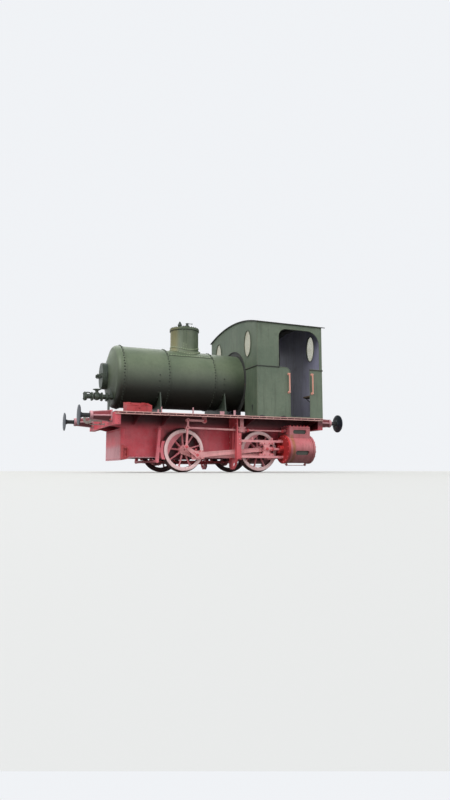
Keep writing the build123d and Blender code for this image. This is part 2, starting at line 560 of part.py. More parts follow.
# Cylinders and guides
def cylinder(side):
    """Cylinder with covers, steam chest on top and its saddle to the frame."""
    y, z = CYLINDER_Y, CYLINDER_AXIS_Z
    front, rear = CYLINDER_FRONT_X, CYLINDER_REAR_X
    body = bar_x(front - CYLINDER_COVER_THICKNESS, rear + CYLINDER_COVER_THICKNESS, y, z,
                 CYLINDER_OUTER_RADIUS)
    chest = block(CHEST_FRONT_X, CHEST_REAR_X, CHEST_INNER_Y, CHEST_OUTER_Y, z + CHEST_BOTTOM_RISE,
                  CHEST_TOP_Z)
    saddle = block(CHEST_FRONT_X - 10, CHEST_REAR_X + 10, FRAME_OUTER_Y, CHEST_INNER_Y + 40, z - 190,
                   CHEST_TOP_Z - 70)
    saddle -= block(CHEST_FRONT_X - 60, CHEST_REAR_X + 60, FRAME_OUTER_Y + 30, CHEST_INNER_Y - 60,
                    z - 150, CHEST_TOP_Z - 110)
    body += chest + saddle
    body -= bar_x(front - CYLINDER_COVER_THICKNESS - 30, rear + CYLINDER_COVER_THICKNESS + 30, y, z,
                  CYLINDER_BORE / 2)
    body -= block(CHEST_FRONT_X - 40, CHEST_REAR_X + 40, CHEST_INNER_Y + 45, CHEST_OUTER_Y - 45,
                  z + CYLINDER_OUTER_RADIUS + 30, CHEST_TOP_Z - 40)
    for x in (front, rear + CYLINDER_COVER_THICKNESS):
        body += bar_x(x, x - CYLINDER_COVER_THICKNESS, y, z, CYLINDER_COVER_RADIUS)
    body += bar_x(front + GLAND_LENGTH, front - 2, y, z, GLAND_RADIUS)
    body += bar_x(rear, rear - 34, y, z, GLAND_RADIUS + 40)
    body += bar_x(CHEST_FRONT_X + 60, CHEST_FRONT_X - 2, VALVE_Y, VALVE_Z, 42)
    body += bar_x(CHEST_REAR_X + 2, CHEST_REAR_X - 40, VALVE_Y, VALVE_Z, 42)
    body -= bar_x(front + GLAND_LENGTH + 10, front - 2, y, z, PISTON_ROD_RADIUS + 0.3)
    body -= bar_x(CHEST_FRONT_X + 70, CHEST_FRONT_X - 30, VALVE_Y, VALVE_Z, VALVE_ROD_RADIUS + 0.3)
    for x in (front - 90, rear + 90):
        body += bar_z(x, y, z - CYLINDER_OUTER_RADIUS - DRAIN_COCK_LENGTH, z - CYLINDER_OUTER_RADIUS + 12, 17)
    slot_x = (CHEST_FRONT_X + CHEST_REAR_X) / 2
    for slot_z, slot_y in ((CHEST_SLOT_Z, CHEST_OUTER_Y), (BARREL_SLOT_Z, y + CYLINDER_OUTER_RADIUS - 14)):
        slot = Pos(slot_x, slot_z) * SlotOverall(CYLINDER_SLOT_LENGTH, CYLINDER_SLOT_HEIGHT)
        body -= side_plate(slot, slot_y - CYLINDER_SLOT_DEPTH, slot_y + 60)
    return mirror(body, Plane.XZ) if side < 0 else body


def slide_bars(side):
    """Upper and lower guide bars between the cylinder cover and the motion plate."""
    bars = []
    for sign in (1, -1):
        z = CYLINDER_AXIS_Z + sign * SLIDE_BAR_SPACING / 2
        bar = block(CYLINDER_FRONT_X, PLATE_REAR_X, BAR_Y0, BAR_Y1, z - SLIDE_BAR_HEIGHT / 2,
                    z + SLIDE_BAR_HEIGHT / 2)
        bars.append(mirror(bar, Plane.XZ) if side < 0 else bar)
    return Compound(children=bars)


def crosshead(side):
    """Crosshead with two slippers, its X-shaped cheek, piston rod and wrist pin."""
    x, y, z = crosshead_x(side), CYLINDER_Y, CYLINDER_AXIS_Z
    inside = SLIDE_BAR_SPACING / 2 - SLIDE_BAR_HEIGHT / 2
    body = bar_y(x, BAR_Y0 + 4, BAR_Y1 - 4, z, CROSSHEAD_HUB_RADIUS)
    for sign in (1, -1):
        slipper_z = z + sign * (inside - SLIPPER_GAP - SLIPPER_HEIGHT / 2)
        body += block(x - SLIPPER_LENGTH / 2, x + SLIPPER_LENGTH / 2, BAR_Y0, BAR_Y1,
                      slipper_z - SLIPPER_HEIGHT / 2, slipper_z + SLIPPER_HEIGHT / 2)
        web = polygon([(x - 36, z), (x - 92, slipper_z), (x + 92, slipper_z), (x + 36, z)])
        body += side_plate(web, BAR_Y0 + 10, BAR_Y1 - 10)
    body += bar_x(x, x - 120, y, z, 42)
    body += bar_x(x - 60, CYLINDER_FRONT_X - 1, y, z, PISTON_ROD_RADIUS)
    body += bar_y(x, BAR_Y1 - 6, BAR_Y1 + 12, z, 40)
    return mirror(body, Plane.XZ) if side < 0 else body


def rods_top(side):
    """Highest point of a main rod where it passes the motion plate, its attitude kept."""
    pin = crank_pin(side, FRONT_AXLE_X)
    slope = (CYLINDER_AXIS_Z - pin[1]) / (crosshead_x(side) - pin[0])
    return (AXLE_Z + slope * (PLATE_REAR_X - FRONT_AXLE_X) + CRANK_RADIUS * math.hypot(1, slope)
            + MAIN_ROD_DEPTH_BIG / 2)


def motion_plate(side):
    """Bracket across the rods' path that carries the guide bars' front ends."""
    x0, x1 = PLATE_REAR_X, MOTION_PLATE_X
    low = MOTION_PLATE_BOTTOM_Z
    outer = BAR_Y1 + MOTION_FLANGE
    inner = FRAME_OUTER_Y
    bar_bottom = CYLINDER_AXIS_Z - SLIDE_BAR_SPACING / 2 - SLIDE_BAR_HEIGHT / 2 - 26
    outline = polygon([(inner, low + 60), (inner + 70, low), (MAIN_Y0 - 20, low), (MAIN_Y1 + 10, low + 50),
                       (outer, bar_bottom), (outer, DECK_BOTTOM_Z), (inner, DECK_BOTTOM_Z)])
    sill, top = low + MOTION_PLATE_RIM, max(rods_top(1), rods_top(-1)) + ROD_CLEARANCE
    window = polygon([(BOSS_FACE_Y - 10, sill), (MAIN_Y0 - 3, sill), (CRANK_Y0 - 2, sill + 88),
                      (CRANK_Y0 - 2, top), (BOSS_FACE_Y - 10, top)])
    plate = cross_plate(outline - window, x0, x1)
    plate -= block(x0 - 1, x1 + 1, CRANK_Y0 - 12, CRANK_Y1 + 2, VALVE_Z - 42, VALVE_Z + 42)
    lightening = RectangleRounded(90, 420, 40)
    plate -= cross_plate(Pos(inner + 92, 640) * lightening, x0 - 1, x1 + 1)
    flange = block(x0 - 70, x0, BAR_Y1, outer, CYLINDER_AXIS_Z - SLIDE_BAR_SPACING / 2 - 40, VALVE_Z - 60)
    plate += flange
    return mirror(plate, Plane.XZ) if side < 0 else plate


def valve_motion(side):
    """Swing link, valve rod with its guide block, and spindle, as they stand at rest."""
    y0, y1 = CRANK_Y0, CRANK_Y1 - 8
    eye, top = valve_eye(side), eccentric_top(side)
    block_x = guide_block_x(side)
    pivot = (SWING_PIVOT_X, SWING_PIVOT_Z)
    link = link_bar(pivot, top, 40, 40, y0, y1)
    link += (bar_y(pivot[0], y0, y1, pivot[1], LINK_EYE_RADIUS + 6)
             + bar_y(top[0], y0, y1, top[1], LINK_EYE_RADIUS))
    rod = link_bar((block_x, VALVE_Z), eye, VALVE_ROD_DEPTH, VALVE_ROD_DEPTH, y0, y1)
    rod += bar_y(eye[0], y0, y1, eye[1], LINK_EYE_RADIUS + 4)
    rod += block(block_x - GUIDE_BLOCK_LENGTH / 2, block_x + GUIDE_BLOCK_LENGTH / 2, y0 - 2, y1 + 6,
                 VALVE_Z - 42, VALVE_Z + 42)
    rod += bar_x(block_x - 60, CHEST_FRONT_X - 20, VALVE_Y, VALVE_Z, VALVE_ROD_RADIUS)
    pieces = [link, rod]
    return Compound(children=[mirror(p, Plane.XZ) if side < 0 else p for p in pieces])


def valve_hangers(side):
    """Deck brackets that hold the swing link's pivot and the valve rod's guide."""
    y0, y1 = CRANK_Y0, CRANK_Y1 - 8
    pivot = (SWING_PIVOT_X, SWING_PIVOT_Z)
    bracket = block(pivot[0] - 46, pivot[0] + 46, y0 - 26, y0, pivot[1] - 20, DECK_BOTTOM_Z)
    bracket += bar_y(pivot[0], y0 - 26, y0, pivot[1], 46)
    block_x = guide_block_x(side)
    guide = block(block_x - GUIDE_LENGTH / 2, block_x + GUIDE_LENGTH / 2, y0 - 2, y1 + 6, VALVE_Z + 42.3,
                  VALVE_Z + 66)
    guide += block(block_x - 40, block_x + 40, y0 + 4, y1, VALVE_Z + 60, DECK_BOTTOM_Z)
    pieces = [bracket, guide]
    return Compound(children=[mirror(p, Plane.XZ) if side < 0 else p for p in pieces])


# Frames
def frame_outline():
    """Side frame in X and Z."""
    back = -BEAM_X + BEAM_WEB
    return polygon([(FRAME_FRONT_X - FRONT_PLATE_THICKNESS, FRAME_BOTTOM_Z - FRONT_PLATE_DROP),
                    (FRAME_FRONT_X - 260, FRAME_BOTTOM_Z),
                    (CYLINDER_REAR_X - 60, FRAME_BOTTOM_Z), (back, BEAM_TOP_Z - BEAM_HEIGHT),
                    (back, DECK_BOTTOM_Z), (BEAM_X - BEAM_WEB, DECK_BOTTOM_Z),
                    (BEAM_X - BEAM_WEB, BEAM_TOP_Z - BEAM_HEIGHT + 20),
                    (FRAME_FRONT_X - FRONT_PLATE_THICKNESS, BEAM_TOP_Z - BEAM_HEIGHT - 30)])


def frame_plates():
    """Two side frames with their horn gaps."""
    face = frame_outline()
    for x in (FRONT_AXLE_X, REAR_AXLE_X):
        half = AXLEBOX_WIDTH / 2 + HORN_GAP
        top = AXLE_Z + AXLEBOX_HEIGHT / 2 + 40
        face -= Pos(x, (FRAME_BOTTOM_Z - 60 + top) / 2) * Rectangle(2 * half, top - FRAME_BOTTOM_Z + 60)
    plates = []
    for side in SIDES.values():
        plate = side_plate(face, side * FRAME_OUTER_Y, side * (FRAME_OUTER_Y - FRAME_THICKNESS))
        plates.append(plate)
    return Compound(children=plates)


def frame_stretchers():
    """Front plate and cross plates between the side frames."""
    inner = FRAME_OUTER_Y - FRAME_THICKNESS
    pieces = [block(FRAME_FRONT_X, FRAME_FRONT_X - FRONT_PLATE_THICKNESS, -FRAME_OUTER_Y, FRAME_OUTER_Y,
                    FRAME_BOTTOM_Z - FRONT_PLATE_DROP, BEAM_TOP_Z - BEAM_HEIGHT - 30)]
    for x in STRETCHER_XS:
        pieces.append(block(x - STRETCHER_THICKNESS / 2, x + STRETCHER_THICKNESS / 2, -inner, inner,
                            FRAME_BOTTOM_Z + 20, DECK_BOTTOM_Z - DECK_TO_STRETCHER))
    return Compound(children=pieces)


def horn_stays():
    """Straps across the bottom of each horn gap."""
    pieces = []
    for x in (FRONT_AXLE_X, REAR_AXLE_X):
        for side in SIDES.values():
            y = side * FRAME_OUTER_Y
            pieces.append(block(x - HORN_STAY_LENGTH / 2, x + HORN_STAY_LENGTH / 2, y,
                                y - side * FRAME_THICKNESS,
                                FRAME_BOTTOM_Z, FRAME_BOTTOM_Z - HORN_STAY_DEPTH))
    return Compound(children=pieces)


def axleboxes():
    """Axleboxes in the horn gaps, bored for the journals."""
    pieces = []
    for x in (FRONT_AXLE_X, REAR_AXLE_X):
        for side in SIDES.values():
            y1 = side * (FRAME_OUTER_Y + 14)
            y0 = y1 - side * AXLEBOX_DEPTH
            half = AXLEBOX_WIDTH / 2
            box = block(x - half, x + half, y0, y1, AXLE_Z - AXLEBOX_HEIGHT / 2, AXLE_Z + AXLEBOX_HEIGHT / 2)
            box -= bar_y(x, y0 - side, y1 + side, AXLE_Z, AXLE_RADIUS + PIN_RUNNING_GAP)
            pieces.append(box)
    return Compound(children=pieces)


def springs():
    """Leaf springs over the axleboxes, inside the frames, with their buckles."""
    pieces = []
    box_top = AXLE_Z + AXLEBOX_HEIGHT / 2
    for x in (FRONT_AXLE_X, REAR_AXLE_X):
        for side in SIDES.values():
            y = side * (FRAME_OUTER_Y - FRAME_THICKNESS - SPRING_WIDTH / 2 - 8)
            width = SPRING_WIDTH / 2
            spring = block(x - width, x + width, y - width - 2, y + width + 2, box_top,
                           box_top + SPRING_RISE + 20)
            for n in range(SPRING_LEAVES):
                half = SPRING_LENGTH / 2 - SPRING_LEAF_STEP * n
                z = box_top + SPRING_RISE - SPRING_LEAF * n
                spring += block(x - half, x + half, y - width, y + width, z - SPRING_LEAF, z)
            for end in (-1, 1):
                tip = x + end * SPRING_LENGTH / 2
                spring += block(tip - end * 28, tip, y - 30, side * (FRAME_OUTER_Y - FRAME_THICKNESS),
                                box_top + SPRING_RISE - 30, box_top + SPRING_RISE + 110)
            pieces.append(spring)
    return Compound(children=pieces)


def buffer_beam(end):
    """Channel across the end of the frames, flanges pointing inwards."""
    face_x = end * BEAM_X
    low = BEAM_TOP_Z - BEAM_HEIGHT
    back = face_x - end * BEAM_FLANGE
    beam = block(face_x, face_x - end * BEAM_WEB, -BEAM_HALF_WIDTH, BEAM_HALF_WIDTH, low, BEAM_TOP_Z)
    for z0, z1 in ((low, low + BEAM_WEB), (BEAM_TOP_Z - BEAM_WEB, BEAM_TOP_Z)):
        for side in SIDES.values():
            beam += block(face_x - end * BEAM_WEB / 2, back, side * FRAME_OUTER_Y, side * BEAM_HALF_WIDTH, z0,
                          z1)
    for side in SIDES.values():
        beam += block(face_x - end * BEAM_WEB / 2, back, side * (BEAM_HALF_WIDTH - 14),
                      side * BEAM_HALF_WIDTH,
                      low, BEAM_TOP_Z)
    slot = Pos(0, HOOK_Z - 14) * RectangleRounded(HOOK_THICKNESS + 8, 62, 6)
    return beam - cross_plate(slot, face_x - end * BEAM_WEB - end, face_x + end)


def deck():
    """Running board over the frames with its edge angle."""
    plate = block(-BEAM_X, BEAM_X, -DECK_HALF_WIDTH, DECK_HALF_WIDTH, DECK_BOTTOM_Z, DECK_TOP_Z)
    for side in SIDES.values():
        edge = side * DECK_HALF_WIDTH
        plate += block(-BEAM_X, BEAM_X, edge, edge - side * DECK_EDGE_THICKNESS,
                       DECK_TOP_Z - DECK_EDGE_HEIGHT, DECK_TOP_Z)
    for end in (1, -1):
        for side in SIDES.values():
            plate -= block(end * (BEAM_X + 1), end * (BEAM_X - BEAM_FLANGE), side * BEAM_HALF_WIDTH,
                           side * (DECK_HALF_WIDTH + 1), 0, DECK_BOTTOM_Z)
    return plate


def deck_brackets():
    """Gussets that carry the running board from the side frames."""
    pieces = []
    edge = DECK_HALF_WIDTH - DECK_EDGE_THICKNESS
    for side in SIDES.values():
        for x in GUSSET_XS:
            gusset = polygon([(side * FRAME_OUTER_Y, DECK_BOTTOM_Z), (side * edge, DECK_BOTTOM_Z),
                              (side * edge, DECK_TOP_Z - DECK_EDGE_HEIGHT - 10),
                              (side * (FRAME_OUTER_Y + 40), DECK_BOTTOM_Z - GUSSET_DEPTH),
                              (side * FRAME_OUTER_Y, DECK_BOTTOM_Z - GUSSET_DEPTH)])
            pieces.append(cross_plate(gusset, x - GUSSET_THICKNESS / 2, x + GUSSET_THICKNESS / 2))
    return Compound(children=pieces)


# Ends
def buffer_cases():
    """Tapered buffer housings on square bases."""
    pieces = []
    for end in (1, -1):
        for side in SIDES.values():
            y, z = side * BUFFER_SPACING / 2, BUFFER_HEIGHT
            x0 = end * BEAM_X
            x1 = x0 + end * BUFFER_BASE_THICKNESS
            x2 = x0 + end * BUFFER_CASE_LENGTH
            base = cross_plate(Pos(y, z) * RectangleRounded(BUFFER_BASE_SIZE, BUFFER_BASE_SIZE * 0.72, 20),
                               x0, x1)
            cone = Pos(x1, y, z) * Rot(0, end * 90, 0) * Cone(BUFFER_BASE_RADIUS * 0.92, BUFFER_NOSE_RADIUS,
                                                            BUFFER_CASE_LENGTH - BUFFER_BASE_THICKNESS,
                                                            align=(Align.CENTER, Align.CENTER, Align.MIN))
            collar = bar_x(x2 - end * 34, x2, y, z, BUFFER_NOSE_RADIUS + 12)
            case = base + cone + collar
            case -= bar_x(x0 + end * 60, x2 + end, y, z, BUFFER_STEM_RADIUS + 0.3)
            pieces.append(case)
    return Compound(children=pieces)


def buffer_plungers():
    """Buffer heads on their stems, slightly domed."""
    pieces = []
    for end in (1, -1):
        for side in SIDES.values():
            y, z = side * BUFFER_SPACING / 2, BUFFER_HEIGHT
            face = LENGTH_OVER_BUFFERS / 2
            profile = [(BEAM_X + 90, 0), (BEAM_X + 90, BUFFER_STEM_RADIUS), (face - 60, BUFFER_STEM_RADIUS),
                       (face - BUFFER_HEAD_THICKNESS, 74),
                       (face - BUFFER_HEAD_THICKNESS - 4, BUFFER_HEAD_RADIUS),
                       (face - 12, BUFFER_HEAD_RADIUS), (face, BUFFER_HEAD_RADIUS * 0.62), (face, 0)]
            plunger = turned_x(profile)
            if end < 0:
                plunger = mirror(plunger, Plane.YZ)
            pieces.append(Pos(0, y, z) * plunger)
    return Compound(children=pieces)


def draw_hooks():
    """Draw hooks on their shanks through the beams, without couplings."""
    pieces = []
    for end in (1, -1):
        eye = Pos(BEAM_X + HOOK_REACH, HOOK_Z)
        throat = Rot(0, 0, 118) * Pos(HOOK_HEAD_RADIUS, 0) \
            * Rectangle(2 * HOOK_HEAD_RADIUS, HOOK_EYE_RADIUS * 1.1)
        claw = eye * (Circle(HOOK_HEAD_RADIUS) - Circle(HOOK_EYE_RADIUS) - throat)
        shank_end = HOOK_REACH - (HOOK_HEAD_RADIUS + HOOK_EYE_RADIUS) / 2
        shank = Pos(BEAM_X + (shank_end - 60) / 2, HOOK_Z - 14) * Rectangle(shank_end + 60, 50)
        hook = side_plate(claw + shank, -HOOK_THICKNESS / 2, HOOK_THICKNESS / 2)
        hook += block(BEAM_X, BEAM_X + 14, -62, 62, HOOK_Z - 88, HOOK_Z + 60)
        pieces.append(mirror(hook, Plane.YZ) if end < 0 else hook)
    return Compound(children=pieces)


# Storage vessel
def head_profile(face_x, radius, outward):
    """Outer outline of a pressed head from its rim to its centre, as (x, radius)."""
    centre_r = radius - HEAD_KNUCKLE
    sphere_r = (centre_r ** 2 + HEAD_CROWN ** 2) / (2 * HEAD_CROWN)
    points = []
    for n in range(7):
        turn = math.radians(15 * n)
        points.append((face_x + outward * HEAD_KNUCKLE * math.sin(turn),
                       centre_r + HEAD_KNUCKLE * math.cos(turn)))
    for n in range(1, 7):
        r = centre_r * (1 - n / 6)
        points.append((face_x + outward * (HEAD_DEPTH - sphere_r + math.sqrt(sphere_r ** 2 - r ** 2)), r))
    return points


def vessel_profile(inset):
    """Half section of the vessel from front to back, drawn in by `inset`."""
    front = VESSEL_FRONT_X
    radii = RING_RADII
    points = list(reversed(head_profile(front, radii[0] + VESSEL_PLATE - inset, 1)))
    points = [(x - inset * (1 if x > front + 1 else 0), r) for x, r in points]
    points += [(front - HEAD_FLANGE, radii[0] + VESSEL_PLATE - inset),
               (front - HEAD_FLANGE, radii[0] - inset)]
    x = front
    for n in range(3):
        x -= RING_LENGTH
        if n < 2:
            points += [(x, radii[n] - inset), (x, radii[n + 1] - inset)]
    points += [(x, radii[2] - inset)]
    rear = head_profile(x, radii[2] - inset, -1)
    points += [(px + inset * (1 if px < x - 1 else 0), r) for px, r in rear[1:]]
    return points


def storage_vessel():
    """Riveted pressure vessel: hollow, three telescoping rings and two heads."""
    outer = turned_x(vessel_profile(0.0))
    inner = turned_x(vessel_profile(VESSEL_WALL))
    shell = Pos(0, 0, VESSEL_AXIS_Z) * (outer - inner)
    shell -= Pos(VESSEL_FRONT_X + HEAD_DEPTH, 0, VESSEL_AXIS_Z) * Rot(0, 90, 0) * extrude(
        Ellipse(MANHOLE_RADIUS_Z - 70, MANHOLE_RADIUS_Y - 60), 80, both=True)
    return shell


def manhole():
    """Raised manhole ring, oval cover, crossbar and its bolt on the front head."""
    face = VESSEL_FRONT_X + HEAD_DEPTH
    seat = Plane(origin=(face - 34, 0, VESSEL_AXIS_Z), x_dir=(0, 0, 1), z_dir=(1, 0, 0))
    ring = extrude(seat * (Ellipse(MANHOLE_RADIUS_Z, MANHOLE_RADIUS_Y)
                           - Ellipse(MANHOLE_RADIUS_Z - 52, MANHOLE_RADIUS_Y - 46)), 34 + MANHOLE_NECK)
    crown = Pos(0, 0, VESSEL_AXIS_Z) * turned_x(vessel_profile(0.0))
    ring -= crown
    lid_seat = seat.offset(34 + MANHOLE_NECK)
    lid = extrude(lid_seat * Ellipse(MANHOLE_RADIUS_Z - 8, MANHOLE_RADIUS_Y - 8), MANHOLE_LID_THICKNESS)
    bar_x0 = face + MANHOLE_NECK + MANHOLE_LID_THICKNESS
    bar_x1 = bar_x0 + MANHOLE_BRIDGE
    bridge = block(bar_x0, bar_x1, -MANHOLE_RADIUS_Y + 6, MANHOLE_RADIUS_Y - 6, VESSEL_AXIS_Z - 28,
                   VESSEL_AXIS_Z + 28)
    bolt = bar_x(bar_x1 - 6, bar_x1 + 52, 0, VESSEL_AXIS_Z, 20)
    nut = bar_x(bar_x1 - 6, bar_x1 + 26, 0, VESSEL_AXIS_Z, 34)
    return ring + lid + bridge + bolt + nut


def steam_dome():
    """Dome on the middle ring with its bolted flange and cover."""
    base_z = VESSEL_AXIS_Z + RING_RADII[1] - 60
    body = bar_z(DOME_X, 0, base_z - 60, DOME_TOP_Z, DOME_RADIUS)
    skirt = bar_z(DOME_X, 0, base_z - 80, VESSEL_AXIS_Z + RING_RADII[1] + 26, DOME_RADIUS + 44)
    top = bar_z(DOME_X, 0, DOME_TOP_Z - DOME_FLANGE_THICKNESS, DOME_TOP_Z, DOME_FLANGE_RADIUS)
    dome = body + skirt + top
    dome -= Pos(0, 0, VESSEL_AXIS_Z) * Rot(0, 90, 0) * Cylinder(RING_RADII[1], 3000)
    dome -= bar_z(DOME_X, 0, VESSEL_AXIS_Z, DOME_TOP_Z - 60, DOME_RADIUS - 18)
    return dome


def dome_fittings():
    """Safety valve, pressure relief cock and the stub between them."""
    z = DOME_TOP_Z
    acorn = bar_z(DOME_X + 104, 0, z, z + 66, 22) + bar_z(DOME_X + 104, 0, z, z + 14, 44)
    acorn += Pos(DOME_X + 104, 0, z + 66) * Cone(44, 18, 96, align=(Align.CENTER, Align.CENTER, Align.MIN))
    stub = bar_z(DOME_X + 22, 0, z, z + 78, 24)
    valve = bar_z(DOME_X - 62, 0, z, z + 92, 46) + bar_z(DOME_X - 62, 0, z + 92, z + 150, 26)
    valve += block(DOME_X - 74, DOME_X - 178, -9, 9, z + 132, z + 148)
    return Compound(children=[acorn, stub, valve])


def saddles():
    """Cradles that carry the vessel on the deck."""
    pieces = []
    foot_y, shoulder_y, shoulder_z = SADDLE_HALF_WIDTH, SADDLE_HALF_WIDTH - 80, VESSEL_AXIS_Z - 280
    for x, radius in zip(SADDLE_XS, (RING_RADII[0], RING_RADII[2])):
        outline = polygon([(-foot_y, DECK_TOP_Z), (foot_y, DECK_TOP_Z), (foot_y, DECK_TOP_Z + 90),
                           (shoulder_y, shoulder_z), (-shoulder_y, shoulder_z), (-foot_y, DECK_TOP_Z + 90)])
        outline -= Pos(0, VESSEL_AXIS_Z) * Circle(radius + 0.3)
        plate = cross_plate(outline, x - SADDLE_THICKNESS / 2, x + SADDLE_THICKNESS / 2)
        foot = block(x - SADDLE_FOOT_LENGTH / 2, x + SADDLE_FOOT_LENGTH / 2, -foot_y, foot_y,
                     DECK_TOP_Z, DECK_TOP_Z + SADDLE_FOOT_THICKNESS)
        pieces.append(plate + foot)
    return Compound(children=pieces)


# Cab
def end_wall_face():
    """Cab end wall in Y and Z, under the arched roof."""
    width, low = CAB_HALF_WIDTH, DECK_TOP_Z
    crown = ROOF_CENTRE_Z + ROOF_RADIUS
    outline = Polyline((-width, CAB_EAVE_Z), (-width, low), (width, low), (width, CAB_EAVE_Z))
    arch = ThreePointArc((width, CAB_EAVE_Z), (0, crown), (-width, CAB_EAVE_Z))
    return make_face([*outline.edges(), arch])


def window_face(side):
    """Oval window."""
    return Pos(side * WINDOW_Y, WINDOW_Z) * Ellipse(WINDOW_HALF_WIDTH, WINDOW_HALF_HEIGHT)


def cab_front_wall():
    """Front wall, cut away round the vessel, with two oval windows."""
    face = end_wall_face()
    hole = RING_RADII[2] + VESSEL_HOLE_GAP
    face -= Pos(0, VESSEL_AXIS_Z) * Circle(hole)
    face -= Pos(0, (VESSEL_AXIS_Z + DECK_TOP_Z + 60) / 2) \
        * Rectangle(2 * (hole - 60), VESSEL_AXIS_Z - DECK_TOP_Z - 60)
    for side in SIDES.values():
        face -= window_face(side)
    return cross_plate(face, CAB_FRONT_X, CAB_FRONT_X - CAB_SHEET)


def cab_rear_wall():
    """Rear wall with two oval windows."""
    face = end_wall_face()
    for side in SIDES.values():
        face -= window_face(side)
    return cross_plate(face, CAB_REAR_X, CAB_REAR_X + CAB_SHEET)


def side_wall_face():
    """Cab side in X and Z with its window opening and doorway."""
    front, rear = CAB_FRONT_X - CAB_SHEET, CAB_REAR_X + CAB_SHEET
    low, high = DECK_TOP_Z, CAB_EAVE_Z
    face = Pos((front + rear) / 2, (low + high) / 2) * Rectangle(front - rear, high - low)
    x0, x1, sill, top = OPENING_FRONT_X, OPENING_REAR_X, WAIST_Z, OPENING_TOP_Z
    corner_front, corner_rear, sill_radius = OPENING_CORNER_FRONT, OPENING_CORNER_REAR, SILL_CORNER
    edges = [
        Line((x0, sill), (x0, top - corner_front)),
        RadiusArc((x0, top - corner_front), (x0 - corner_front, top), -corner_front),
        Line((x0 - corner_front, top), (x1 + corner_rear, top)),
        RadiusArc((x1 + corner_rear, top), (x1, top - corner_rear), -corner_rear),
        Line((x1, top - corner_rear), (x1, sill)),
        Line((x1, sill), (DOOR_REAR_X, sill)),
        Line((DOOR_REAR_X, sill), (DOOR_REAR_X, low + DOOR_SILL)),
        Line((DOOR_REAR_X, low + DOOR_SILL), (DOOR_FRONT_X, low + DOOR_SILL)),
        Line((DOOR_FRONT_X, low + DOOR_SILL), (DOOR_FRONT_X, sill - sill_radius)),
        RadiusArc((DOOR_FRONT_X, sill - sill_radius), (DOOR_FRONT_X + sill_radius, sill), sill_radius),
        Line((DOOR_FRONT_X + sill_radius, sill), (x0, sill)),
    ]
    return face, edges


def cab_side(side):
    """One side wall of the cab."""
    face, edges = side_wall_face()
    opening = make_face(edges)
    wall = side_plate(face - opening, side * CAB_HALF_WIDTH, side * (CAB_HALF_WIDTH - CAB_SHEET))
    return wall


def cab_roof():
    """Arched roof sheet with its edge angle."""
    half = CAB_HALF_WIDTH + ROOF_OVERHANG_SIDE
    angle = math.degrees(math.asin(half / (ROOF_RADIUS + ROOF_SHEET)))
    x0, x1 = CAB_REAR_X - ROOF_OVERHANG_REAR, CAB_FRONT_X + ROOF_OVERHANG_FRONT
    sector = polygon([(0, ROOF_CENTRE_Z), (-math.tan(math.radians(angle)) * 9000, ROOF_CENTRE_Z + 9000),
                      (math.tan(math.radians(angle)) * 9000, ROOF_CENTRE_Z + 9000)])
    centre = Pos(0, ROOF_CENTRE_Z)
    sheet = (centre * Circle(ROOF_RADIUS + ROOF_SHEET) - centre * Circle(ROOF_RADIUS)) & sector
    return cross_plate(sheet, x0, x1)


def waist_beading():
    """Half-round strip along the cab's waist and its corners."""
    pieces = []
    for side in SIDES.values():
        y = side * CAB_HALF_WIDTH
        out = y + side * BEADING_THICKNESS
        half = BEADING_WIDTH / 2
        strip = block(OPENING_FRONT_X, CAB_FRONT_X, y, out, WAIST_Z - half, WAIST_Z + half)
        rear = block(CAB_REAR_X, DOOR_REAR_X, y, out, WAIST_Z - BEADING_WIDTH - 2, WAIST_Z - 2)
        pieces += [strip, rear]
    return Compound(children=pieces)


def window_panes():
    """Panes let into the four oval windows, each in its rim."""
    pieces = []
    for wall_x, inward in ((CAB_FRONT_X, -1), (CAB_REAR_X, 1)):
        for side in SIDES.values():
            middle = wall_x + inward * CAB_SHEET / 2
            pane = cross_plate(window_face(side), middle - GLASS_THICKNESS / 2, middle + GLASS_THICKNESS / 2)
            pieces.append(pane)
    return Compound(children=pieces)


def window_rims():
    """Flat rims round the four oval windows, on the walls' outer faces."""
    pieces = []
    for wall_x, outward in ((CAB_FRONT_X, 1), (CAB_REAR_X, -1)):
        for side in SIDES.values():
            oval = Ellipse(WINDOW_HALF_WIDTH + RIM_BREADTH, WINDOW_HALF_HEIGHT + RIM_BREADTH)
            face = Pos(side * WINDOW_Y, WINDOW_Z) * (oval - Ellipse(WINDOW_HALF_WIDTH, WINDOW_HALF_HEIGHT))
            pieces.append(cross_plate(face, wall_x, wall_x + outward * RIM_THICKNESS_OUT))
    return Compound(children=pieces)


def handrails():
    """Upright handrails beside the doorways."""
    pieces = []
    for side in SIDES.values():
        y = side * (CAB_HALF_WIDTH + HANDRAIL_STAND_OUT)
        z0 = HANDRAIL_LOW_Z
        for x, z1 in ((DOOR_FRONT_X + 34, z0 + HANDRAIL_LENGTH),
                      (DOOR_REAR_X - 40, z0 + HANDRAIL_LENGTH + 20)):
            rail = bar_z(x, y, z0, z1, HANDRAIL_RADIUS)
            for z in (z0 + 18, z1 - 18):
                rail += bar_y(x, side * CAB_HALF_WIDTH, y, z, HANDRAIL_RADIUS * 0.9)
            pieces.append(rail)
    return Compound(children=pieces)


def cab_controls():
    """Hand brake column with its crank, and the reversing lever, inside the cab."""
    floor, x, y = DECK_TOP_Z, CAB_FRONT_X - CONTROLS_BEHIND_WALL, CONTROLS_Y
    brake = bar_z(x, -y, floor, floor + 980, 32) + bar_z(x, -y, floor, floor + 20, 90)
    brake += bar_y(x, -y - 190, -y, floor + 960, 15) + bar_z(x, -y - 180, floor + 945, floor + 1080, 18)
    x, y = x + 40, y - 30
    lever = (bar_z(x, y, floor, floor + 160, 46)
             + block(x - 18, x + 18, y - 18, y + 18, floor + 150, floor + 1080))
    lever += bar_y(x, y - 30, y + 30, floor + 1080, 22)
    return Compound(children=[brake, lever])


